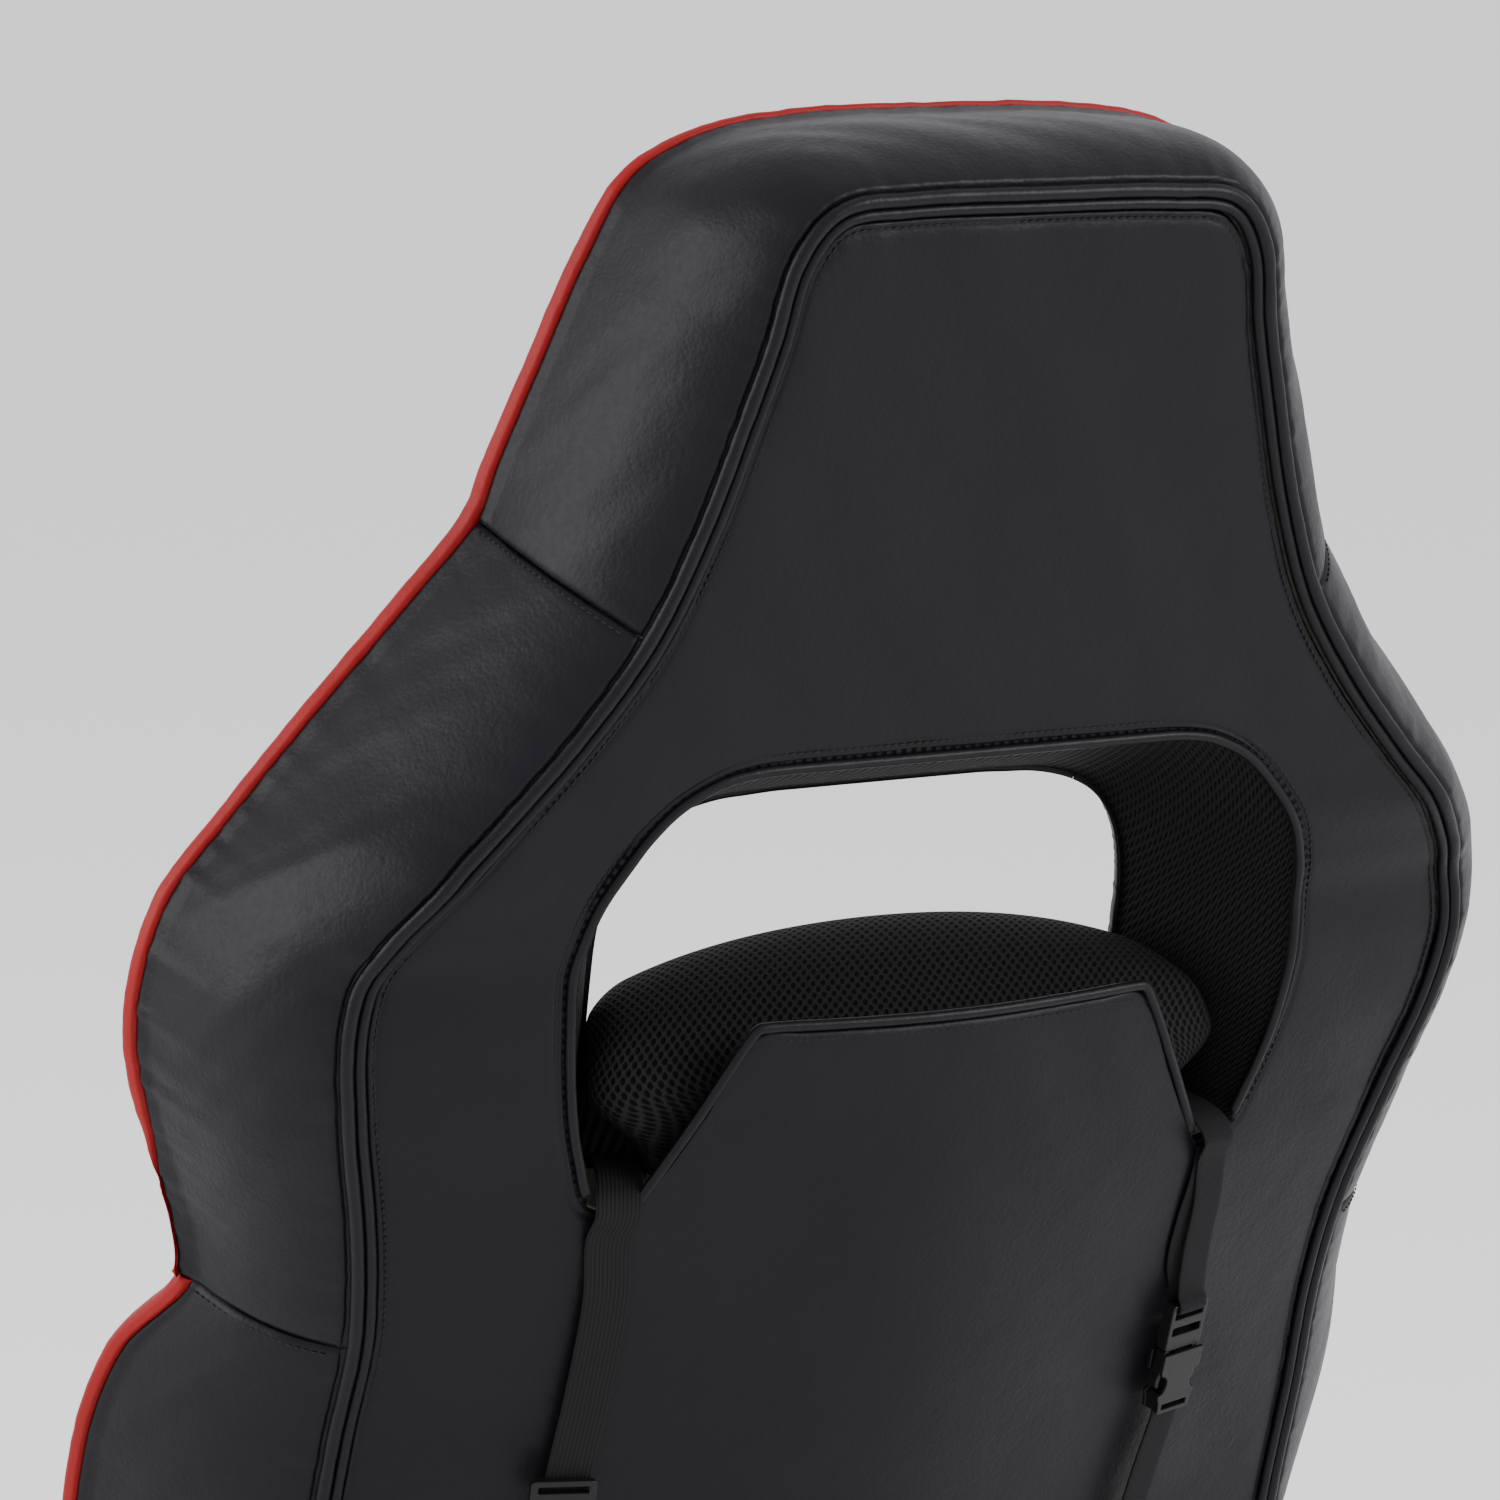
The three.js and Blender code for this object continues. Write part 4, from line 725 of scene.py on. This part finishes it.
def side_cover(name, node, k0, k1, seed):
    """Side face from the piping to the red border, with its relief along the face's normals."""
    k = np.linspace(k0 + 0.004, k1 - 0.004, int((k1 - k0) * 13))
    last = 1 - red_width(k) / side_span(k)
    kk, tt = np.meshgrid(k, crowded(44, 0.7), indexing="ij")
    vv = 0.005 + (last[:, None] - 0.005) * tt
    base = side_face(kk, vv)
    inside = side_face(kk, vv, GUSSET_T - 1.0)
    d0, d1, ends, run = distances(base, 22)
    middle = np.sin(np.pi * tt)
    shoulder = np.exp(-((np.abs((kk + LAST) % LOOP - LAST) - 11.6) / 2.6) ** 2)
    fold_piping = 0.5 * waves(run, 11, seed) * np.exp(-d0 / 10)
    fold_border = ((0.25 + 0.95 * shoulder) * waves(run + 0.25 * d1, 13, seed + 1) * np.exp(-d1 / 17)
                   * (1 - np.exp(-d1 / 2)))
    wide = 1.1 * waves(run + 0.5 * d0, 120, seed + 2) * middle
    lean_waves = 0.35 * waves(0.8 * run + 0.9 * d0, 34, seed + 3) * middle
    drop = (turned_in(d0, 3.0) + turned_in(d1, 2.2) + turned_in(ends, 0.6) + 1.3 * np.exp(-ends / 9)
            + 0.9 * np.exp(-d1 / 8))
    height = fold_piping + fold_border + wide + lean_waves - drop
    wall(name, node, base + height[..., None] * normals(base, inside), inside, black_leather)


for word, k0, k1, seed in (("head", -NECK, NECK, 11), ("shoulder_right", NECK, NOTCH, 21),
                           ("waist_right", NOTCH, LAST, 31), ("waist_left", LAST, LOOP - NOTCH, 41),
                           ("shoulder_left", LOOP - NOTCH, LOOP - NECK, 51)):
    side_cover(f"side_{word}", f"gusset_{word}", k0, k1, seed)

# %% Stitching of the side seams
seam_rows = []
v = np.linspace(0.06, 0.9, 300)
for k0, shift in ((-NECK, -0.07), (NECK, 0.07), (NOTCH, 0.09), (LOOP - NOTCH, -0.09)):
    path = side_face(np.full_like(v, k0 + shift), v, 0.8)
    seam_rows.append((path, side_face(np.full_like(v, k0 + shift), v, 0) - path))
stitching("stitching_sides", seam_rows)

# %% [markdown]
# ## Red border and front covers
# The border wraps the front edge: it starts on the side, where the black cover stops, and ends on the
# front, a fifth of the way in. Its section is smoothed by averaging neighbours, so it goes round the
# edge instead of folding there. The black front covers fill the rest.

# %% Red border
COVER_T = 6
BORDER = 0.2


def border_net(k, n, inset):
    """From the side round to the front: one part on the side face, three parts on the front face."""
    on_side = int(n * 0.3)
    kk, tt = np.meshgrid(k, np.linspace(0, 1, on_side, endpoint=False), indexing="ij")
    first = (1 - red_width(k) / side_span(k))[:, None]
    side = side_face(kk, first + (1 - first) * tt, inset)
    kk, tt = np.meshgrid(k, np.linspace(0, BORDER - 0.004, n - on_side), indexing="ij")
    whole = np.concatenate([side, front_face(kk, tt, inset)], axis=1)
    for _ in range(14):
        whole[:, 1:-1] = 0.25 * whole[:, :-2] + 0.5 * whole[:, 1:-1] + 0.25 * whole[:, 2:]
    return whole


def red_border(name, node, k0, k1, seed):
    k = np.linspace(k0 + 0.012, k1 - 0.012, int((k1 - k0) * 10))
    base = border_net(k, 44, 0.0)
    inside = border_net(k, 44, 3.5)
    d0, d1, ends, run = distances(base, 22)
    folds = 0.3 * waves(run, 14, seed) * (np.exp(-d0 / 8) + np.exp(-d1 / 12))
    drop = turned_in(d0, 1.6) + turned_in(d1, 2.4) + turned_in(ends, 1.5)
    outside = base + (folds - drop)[..., None] * normals(base, inside)
    wall(name, node, outside, inside, red_leather)


red_border("border_upper", "red_border_upper", -NOTCH, NOTCH, 61)
red_border("border_waist_right", "red_border_lower_right", NOTCH, LAST, 62)
red_border("border_waist_left", "red_border_lower_left", LAST, LOOP - NOTCH, 63)


# %% Front covers
TOP_LINE = SEAM_LINE + 1.5


def front_cover(name, node, k0, k1, seed):
    """Front face inside the border, with a top-stitching groove and puckers along its seams."""
    k = np.linspace(k0 + 0.012, k1 - 0.012, int((k1 - k0) * 9))
    kk, tt = np.meshgrid(k, crowded(60, 0.5), indexing="ij")
    vv = BORDER + 0.004 + (0.992 - BORDER) * tt
    base = front_face(kk, vv)
    inside = front_face(kk, vv, COVER_T - 0.5)
    d0, d1, ends, run = distances(base, 10)
    folds = 0.7 * waves(run, 15, seed) * np.exp(-d0 / 14) + 0.35 * waves(run, 12, seed + 1) * np.exp(-d1 / 9)
    wide = 1.3 * waves(base[..., 0] + 0.5 * base[..., 2], 130, seed + 2) * np.sin(np.pi * tt)
    drop = (turned_in(d0, 2.4) + turned_in(d1, 2.6) + turned_in(ends, 1.6) + 1.4 * np.exp(-ends / 8)
            + 0.6 * np.exp(-((d0 - TOP_LINE) / 1.4) ** 2))
    n = normals(base, inside)
    wall(name, node, base + (folds + wide - drop)[..., None] * n, inside, black_leather)
    column = int(np.argmin(np.abs(d0[len(d0) // 2] - TOP_LINE)))
    return base[:, column] - 0.2 * n[:, 20], n[:, 20]


front_rows = [front_cover("front_head", "front_head_cover", -NECK, NECK, 71),
              front_cover("front_shoulder_right", "front_shoulder_cover_right", NECK, NOTCH, 72),
              front_cover("front_lumbar", "front_lumbar_cover", NOTCH, LOOP - NOTCH, 73),
              front_cover("front_shoulder_left", "front_shoulder_cover_left", LOOP - NOTCH, LOOP - NECK, 74)]
stitching("stitching_front", front_rows)

# %% [markdown]
# ## Opening
# The opening's walls are lined with spacer mesh, and a mesh pad swells behind the tongue. The liner is
# one thin wall. The pad is a profile swept across the opening whose crest falls to both sides. Low
# down its ends leave room for the straps; higher up it widens over them as far as the liner.

# %% Liner
kk, vv = np.meshgrid(np.linspace(-NOTCH, NOTCH, 340), np.linspace(0.0, 1.0, 40), indexing="ij")
swell = 1.3 * np.sin(np.pi * vv) ** 0.8
lined = tunnel_face(kk, 0.03 + 0.955 * vv, -swell + turned_in(lengths(tunnel_face(kk, vv), 1), 2))
behind = tunnel_face(kk, 0.03 + 0.955 * vv, np.full_like(vv, 2.6))
wall("opening_mesh", "opening_liner", lined, behind, mesh_cloth)

# %% Pad
PAD_FOOT, PAD_HALF, PAD_WIDEST = 369, 134, 148
MOUTH_HALF = 116
LINER_T, STRAP_ROOM, STRAP_LEFT_W = 3, 1.7, 18


def wall_half(depth, h):
    """Half the opening's width at a depth and height: between its rear and front widths."""
    rim_half = np.interp(h, ROWS[NOTCH:7:-1, 6], ROWS[NOTCH:7:-1, 5])
    return rim_half + (MOUTH_HALF - rim_half) * np.maximum(depth / MOUTH_DEPTH, 0)


a, t = np.meshgrid(np.linspace(-1, 1, 150), np.linspace(0, 9, 110), indexing="ij")
end = 1 - np.sqrt(np.clip(1 - ((np.abs(a[:, 0]) - 0.86).clip(0) / 0.14) ** 2, 0, 1))
x = a[:, 0] * PAD_HALF
crest = 444 - 0.0009 * x ** 2 - 2.0e-8 * x ** 4 - 12 * end
rear = np.max([rear_depth(x, h) for h in (365, 400, 430)], axis=0) + PANEL_T + 0.8 + 6 * end
profile = np.stack([np.stack([0 * x, d + 0 * x, h + 0 * x], 1) for d, h in (
    (rear, PAD_FOOT), (rear + 0.5, crest - 44), (rear + 6, crest - 24), (26 + 9 * end, crest - 8),
    (40, crest - 2), (54, crest), (68, crest - 3), (77, crest - 11), (81.5, crest - 28), (82, PAD_FOOT))], 1)
pad = np.stack([smooth_curve(row, closed=False)(t[0]) for row in profile])
held = wall_half(pad[..., 1], np.maximum(pad[..., 2], 366))
raised = smoothstep(np.clip((pad[..., 2] - 376) / 26, 0, 1))
narrow = held - LINER_T - STRAP_LEFT_W - 2 * STRAP_ROOM
pad[..., 0] = a * np.minimum(narrow + (held - 1.5 - narrow) * raised, PAD_WIDEST)
low = pad.copy()
low[..., 2] = PAD_FOOT
low[..., 1] = pad[:, :1, 1] + (pad[:, -1:, 1] - pad[:, :1, 1]) * t / 9
mesh_pad = wall("centre_pad_mesh", "centre_pad", pad, low, mesh_cloth)
print("pad", len(mesh_pad.data.polygons), "faces")

# %% [markdown]
# ## Straps
# The lumbar pillow hangs on two straps. They pass beside the pad, leave the opening at its lower
# corners and run down the back: ribbed elastic on the left, flat webbing on the right. They are taut,
# so they stand off where the back is hollow. A strap is a flat oval section along a route; each route
# point also gives the lie of the strap's width.

# %% Strap routes
STRAP_LIFT, STRAP_EASE, LEAVE = 3.0, 0.0375, 350


def lift_at(h):
    return STRAP_LIFT + STRAP_EASE * max(0, LEAVE - h)


def taut(x, h, extra=0.0):
    return [x, rear_depth(x, h) - lift_at(h) - extra, h, slope_across(x, h), 0]


def corner_x(depth):
    """Middle of a strap beside the pad's end, in the opening's lower corner."""
    return float(wall_half(depth, 371)) - LINER_T - STRAP_ROOM - STRAP_LEFT_W / 2


def through_corner(side):
    """From the pillow's top edge, beside the pad's end, out over the opening's lower corner."""
    way = [[102, 126, 297, 0], [102, 107, 340, 0], [corner_x(74), 97, 362, 0], [corner_x(74), 84, 370, 0],
           [corner_x(66), 66, 371.5, 0], [corner_x(45), 45, 371.5, 0], [corner_x(25), 25, 371, 0],
           [corner_x(10), 10, 370, 0.05], [131, 2.5, 366.5, 0.12], [132.5, -1.2, 361, 0.18]]
    return [[side * x, d, h, side * lie, 0] for x, d, h, lie in way]


def under_back(x):
    return [[x, 13.6, 100, np.sign(x) * 0.15, 0], [x, 9.5, 0, 0, 0], [x, 7.5, -34, 0, 0], [x, 12, -47, 0, 0],
            [x, 27, -52, 0, 0], [x, 39, -53, 0, 0]]


def strap(name, node, route, width, thickness, material, body="back", steps=260):
    """Rounded flat sections, their corners a superellipse, across the run of a smooth route."""
    route = np.array(route, float)
    at = np.linspace(0, len(route) - 1, steps)
    path = smooth_curve(route[:, :3], closed=False)(at)
    run = unit(np.gradient(path, axis=0))
    lie = np.stack([np.interp(at, np.arange(len(route)), route[:, i]) for i in (3, 4)], 1)
    side = np.concatenate([np.ones((steps, 1)), lie], 1)
    side = unit(side - (side * run).sum(1, keepdims=True) * run)
    angle = np.linspace(0, 2 * np.pi, 28, endpoint=False)
    u = width / 2 * np.sign(np.cos(angle)) * np.abs(np.cos(angle)) ** 0.35
    w = thickness / 2 * np.sign(np.sin(angle)) * np.abs(np.sin(angle)) ** 0.6
    points, faces, uv = swept(path, side, np.cross(run, side), u, w, np.ones(steps), u)
    print(name, round(float(lengths(path, 0)[-1])), "mm long")
    make_piece(name, node, in_room(points), faces, material, body, uv)


# %% Left strap
down_left = [taut(x, h) for x, h in ((-133, 350), (-130.5, 324), (-131.5, 282), (-134.5, 240), (-137, 190))]
left = through_corner(-1) + down_left + under_back(-138)
strap("strap_elastic", "strap_left", left, STRAP_LEFT_W, 1.6, elastic)

# %% [markdown]
# ## Buckle and slider
# The buckle is a side-release one: a male half with two bars for the webbing and two springy prongs,
# and a female half that shows the prongs in its side openings. The parts are moulded, flat and evenly
# thick, so each is an outline, filled and given a thickness with rounded edges.

# %% Where a fitting lies
BUCKLE_X, BUCKLE_H = 135.5, 262
MALE_L, FEMALE_L = 22, 28


def lie_of(x, h, lift):
    """Place and three directions of a fitting on a strap: across, up and towards the rear."""
    across = unit(np.array([1, slope_across(x, h), 0.0]))
    up = np.array([0, slope_up(x, h) + STRAP_EASE, 1.0])
    up = unit(up - (up @ across) * across)
    forward = np.cross(up, across)
    return np.array([x, rear_depth(x, h), h]) - lift * forward, across, up, -forward


def evaluated(made):
    """The mesh of a filled curve, or of an object with its modifiers."""
    return bpy.data.meshes.new_from_object(made.evaluated_get(bpy.context.evaluated_depsgraph_get()))


def points_of(mesh):
    points = np.empty(len(mesh.vertices) * 3)
    mesh.vertices.foreach_get("co", points)
    return points.reshape(-1, 3)


def moulded(name, node, layers, round_by, lie, body):
    """Each layer fills flat outlines (a rim, then holes) at a middle plane with a thickness."""
    place, across, up, rearward = lie
    parts = []
    for outlines, middle, thick in layers:
        curve = bpy.data.curves.new(name, "CURVE")
        curve.dimensions = "2D"
        curve.fill_mode = "BOTH"
        for outline in outlines:
            line = curve.splines.new("POLY")
            line.points.add(len(outline) - 1)
            xyzw = np.column_stack([np.array(outline, float), np.zeros(len(outline)), np.ones(len(outline))])
            line.points.foreach_set("co", xyzw.ravel())
            line.use_cyclic_u = True
        curve.extrude = thick / 2 - round_by
        curve.bevel_depth = round_by
        curve.bevel_resolution = 2
        curve.offset = -round_by
        holder = put(name, curve)
        mesh = evaluated(holder)
        bpy.data.objects.remove(holder)
        flat = points_of(mesh)
        points = place + flat[:, :1] * across + flat[:, 1:2] * up + (flat[:, 2:] + middle) * rearward
        mesh.vertices.foreach_set("co", in_room(points).ravel())
        parts.append(put(name, mesh))
    made = parts[0]
    if len(parts) > 1:
        with bpy.context.temp_override(active_object=made, selected_editable_objects=parts):
            bpy.ops.object.join()
    made.data.materials.clear()
    made.data.materials.append(acetal)
    made.data.polygons.foreach_set("use_smooth", np.zeros(len(made.data.polygons), bool))
    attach(made, body)
    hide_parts(node)


def slab(x0, x1, y0, y1, corner=0.8):
    """A rectangle whose corners are quarter circles."""
    corner = min(corner, (x1 - x0) / 2.01, (y1 - y0) / 2.01)
    turn = np.linspace(0, np.pi / 2, 5)
    centres = [(x1 - corner, y1 - corner), (x0 + corner, y1 - corner),
               (x0 + corner, y0 + corner), (x1 - corner, y0 + corner)]
    out = []
    for quarter, (cx, cy) in enumerate(centres):
        angle = turn + quarter * np.pi / 2
        out.append(np.stack([cx + corner * np.cos(angle), cy + corner * np.sin(angle)], 1))
    return np.vstack(out)


def rounded(points, n):
    """A closed smooth outline through points."""
    line = smooth_curve(np.column_stack([np.array(points, float), np.zeros(len(points))]))
    return line(np.arange(0, len(points), 1 / n))[:, :2]


# %% Buckle
buckle_lie = lie_of(BUCKLE_X, BUCKLE_H, lift_at(BUCKLE_H) + 0.6)
bars = [slab(-10, 10, 0.8, MALE_L, 1.6), slab(-7.9, 7.9, 15.2, 19, 0.6), slab(-7.9, 7.9, 7.6, 11.4, 0.6)]
moulded("buckle_bars", "buckle_male", [(bars, 0, 5.6)], 0.5, buckle_lie, "back")


def both(points):
    """An outline's right half, from its top to its bottom, with the left half added."""
    right = np.array(points, float)
    return np.vstack([right, right[::-1] * [-1, 1]])


shell = both([(10.9, -0.1), (10.9, -8.2), (10.4, -9.6), (8.2, -10.4), (6.9, -12), (6.6, -14.4), (7.3, -17),
              (8.6, -18.6), (10.2, -19.2), (10.3, -20.3), (9.4, -22.4), (9.0, -24.5), (9.0, -27.2),
              (8.3, -27.9)])
core = both([(3.4, -0.2), (3.4, -18.7), (7.6, -19.6), (8.4, -21.5), (8.2, -24), (8.2, -27.4)])
core_slot = slab(-7.0, 7.0, -26.2, -23.6, 0.5)
socket = [([shell, core_slot], 3.65, 1.7), ([core, core_slot], 0, 6.2), ([shell, core_slot], -3.65, 1.7)]
moulded("buckle_socket", "buckle_female", socket, 0.35, buckle_lie, "buckle")

prong = np.array([(6.6, 0.2), (9.2, 0.2), (9.6, -5), (10.0, -9), (11.0, -12), (11.1, -14.2), (10.4, -16),
                  (8.9, -16.2), (8.9, -13.4), (8.2, -10), (7.2, -6)])
for side, word in ((-1, "left"), (1, "right")):
    moulded(f"prong_{word}", f"buckle_prong_{word}", [([rounded(prong * [side, 1], 4)], 0, 4.6)], 0.4,
            buckle_lie, f"prong_{word}")


# %% Right straps
def on_buckle(along_strap, off=0.0):
    place, across, up, rearward = buckle_lie
    p = place + along_strap * up + off * rearward
    return [*p, slope_across(BUCKLE_X, BUCKLE_H), 0]


upper = through_corner(1) + [taut(134, 350), taut(136.5, 330), taut(136.5, 308)]
upper += [on_buckle(MALE_L + along, off) for along, off in ((3.5, 1.2), (0.4, 3.2), (-2.5, 3.6), (-5.0, 0.4))]
strap("strap_webbing_upper", "strap_right_upper", upper, 15, 1.5, smooth_webbing)
slack = [taut(133.5, 356, -1.7), taut(132.5, 340, -1.5), taut(131.0, 322, -2.6), taut(131.5, 303, -3.6),
         on_buckle(MALE_L + 4, -3.6), on_buckle(MALE_L - 3, -3.4)]
strap("strap_webbing_fold", None, slack, 14.5, 1.0, smooth_webbing, steps=90)
lower = [on_buckle(-FEMALE_L + 1.2, 0.2), on_buckle(-FEMALE_L - 2, 0.4), taut(131.5, 205), taut(127, 175)]
strap("strap_webbing_lower", "strap_right_lower", lower + under_back(124), 15, 1.6, smooth_webbing, "buckle")

# %% Slider
SLIDER_X, SLIDER_H = -134.5, 238
slider_lie = lie_of(SLIDER_X, SLIDER_H, lift_at(SLIDER_H) + 2.8)
ladder = [slab(-13, 13, -7, 7, 1.8), slab(-10, 10, 1.5, 4.5, 0.5), slab(-10, 10, -4.5, -1.5, 0.5)]
moulded("strap_ladder", "strap_slider", [(ladder, 0, 2.7)], 0.5, slider_lie, "slider")

# %% [markdown]
# ## Cushions
# The seat cushions and the lumbar pillow are foam in leather covers. Each starts from a slightly
# smaller solid, remeshed into even cells, and a cloth simulation blows it up until the leather is
# tight. How far a point may move is capped. Sewn channels are pressed in afterwards, because the
# remesh would rub them out.

# %% Cloth
VOXEL, PRESSURE, FRAMES = 0.006, 4.0, 20


def blown_up(name, node, body, cap):
    """Remesh, cloth with pressure and no gravity, then each point's move is shortened to the cap."""
    made = put(name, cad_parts[node].data.copy())
    bpy.context.view_layer.objects.active = made
    remesh = made.modifiers.new("remesh", "REMESH")
    remesh.mode = "VOXEL"
    remesh.voxel_size = VOXEL
    smooth = made.modifiers.new("smooth", "SMOOTH")
    smooth.iterations = 6
    made.data = evaluated(made)
    made.modifiers.clear()
    start = points_of(made.data)
    cloth = made.modifiers.new("cloth", "CLOTH")
    cloth.settings.use_pressure = True
    cloth.settings.uniform_pressure_force = PRESSURE
    cloth.settings.effector_weights.gravity = 0
    cloth.point_cache.frame_end = FRAMES
    for step in range(1, FRAMES + 1):
        bpy.context.scene.frame_set(step)
    move = points_of(evaluated(made)) - start
    far = np.linalg.norm(move, axis=1, keepdims=True)
    start = start + move * np.minimum(1, cap / np.maximum(far, 1e-9))
    made.modifiers.clear()
    bpy.context.scene.frame_set(1)
    print(name, "moved up to", round(float(far.max()) * 1000, 1), "mm, capped at", cap * 1000)
    made.data.materials.clear()
    made.data.materials.append(black_leather)
    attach(made, body)
    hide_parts(node)
    return made, start


def finish_cushion(made, points):
    """Writes the points back and rounds the cells once."""
    made.data.vertices.foreach_set("co", points.ravel())
    made.data.polygons.foreach_set("use_smooth", np.ones(len(made.data.polygons), bool))
    finer = made.modifiers.new("finer", "SUBSURF")
    finer.levels = finer.render_levels = 1
    made.data.update()


CHANNEL = 0.0045
cushion, p = blown_up("seat_middle", "seat_cushion", "seat", 0.004)
top = p[:, 2] > 0.09
for line in (-0.105, -0.03, 0.045, 0.12, 0.195):
    p[:, 2] -= np.where(top, CHANNEL * np.exp(-((p[:, 1] - line) / CHANNEL) ** 2), 0)
finish_cushion(cushion, p)
for word in ("right", "left"):
    finish_cushion(*blown_up(f"seat_side_{word}", f"seat_bolster_{word}", "seat", 0.003))
finish_cushion(*blown_up("pillow", "lumbar_pillow", "back", 0.008))


# %% Red piping of the seat
def seat_piping(word, side):
    """A cord in the groove between the middle cushion and a bolster, following the cushion's top."""
    y = np.linspace(-183, 262, 200)
    nose = np.where(y > 185, 34 * ((y - 185) / 90) ** 2, 0)
    tail = np.where(y < -161, 8 * ((-161 - y) / 25) ** 2, 0)
    path = np.stack([np.full_like(y, side * 152.0), y, 107.0 - nose - tail], 1)
    sideways = np.broadcast_to([1.0, 0, 0], path.shape)
    lift = np.cross(sideways, unit(np.gradient(path, axis=0)))
    turn = np.linspace(0, 2 * np.pi, 12, endpoint=False)
    points, faces, _ = swept(path, sideways, lift, np.cos(turn), np.sin(turn), np.full(len(y), 2.3), turn)
    make_piece(f"seat_cord_{word}", f"seat_piping_{word}", points / 1000, faces, red_leather,
               "seat")


seat_piping("right", 1)
seat_piping("left", -1)

# %% [markdown]
# ## Parts that stay
# The plate, the board, the recliner, the bolts and the frame have their right shape in the CAD model
# already, so they only get their finish.

# %% Finishes of the CAD parts
FINISHES = (
    (powder_coat, "base_plate recliner_bracket_right recliner_bracket_left back_arm_right back_arm_left "
                  "recline_lever back_frame"),
    (zinc, "board_bolt_1 board_bolt_2 board_bolt_3 board_bolt_4 pivot_bolt_right pivot_bolt_left "
           "arm_bolt_right arm_bolt_left"),
    (abs_plastic, "recliner_cover_right recliner_cover_left lever_grip"),
    (plywood, "seat_board"), (foam, "back_foam"))
for finish, nodes in FINISHES:
    for node in nodes.split():
        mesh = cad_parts[node].data
        mesh.materials.clear()
        mesh.materials.append(finish)
    print(finish.name, "on", len(nodes.split()), "CAD parts")

# %% [markdown]
# ## Floor and light
# A wide pale floor and a bright even surround give the soft light of a product studio. A soft light
# from the right and above models the rolls and throws the straps' shadows to the left. A larger one
# from the left keeps that side readable, and a faint one from above lights the top.

# %% Floor
floor_net = np.array([[-60.0, -60, 0], [60, -60, 0], [60, 60, 0], [-60, 60, 0]])
floor_mesh = bpy.data.meshes.new("floor")
floor_mesh.from_pydata(floor_net.tolist(), [], [(0, 1, 2, 3)])
put("floor", floor_mesh)
paint, paint_tree, paint_shader = new_material("pale studio floor")
matt = {"Base Color": linear("#fafafa"), "Roughness": 0.9, "Specular IOR Level": 0.1}
set_inputs(paint_tree, paint_shader, matt)
floor_mesh.materials.append(paint)

# %% Light
world = bpy.data.worlds.new("studio")
bpy.context.scene.world = world
world.use_nodes = True
surround = world.node_tree.nodes["Background"]
surround.inputs[0].default_value = linear("#f4f5f8")
surround.inputs[1].default_value = 1.35


def softbox(name, place, size, watts):
    """A square area light that looks at the middle of the seat."""
    light = bpy.data.lights.new(name, "AREA")
    light.energy = watts
    light.size = size
    ahead = unit(MIDDLE - place)
    across = unit(np.cross(ahead, [0, 0, 1]))
    stand(put(name, light), across, np.cross(across, ahead), ahead, place)


MIDDLE = np.array([0, -0.35, 0.6])
softbox("key", MIDDLE + 2.2 * RIGHT - 1.2 * LOOK + 0.7 * UP, 1.1, 55)
softbox("fill", MIDDLE - 2.6 * RIGHT - 0.8 * LOOK + 0.6 * UP, 1.8, 65)
softbox("top", MIDDLE + 2.4 * UP - 0.6 * LOOK, 1.4, 4)
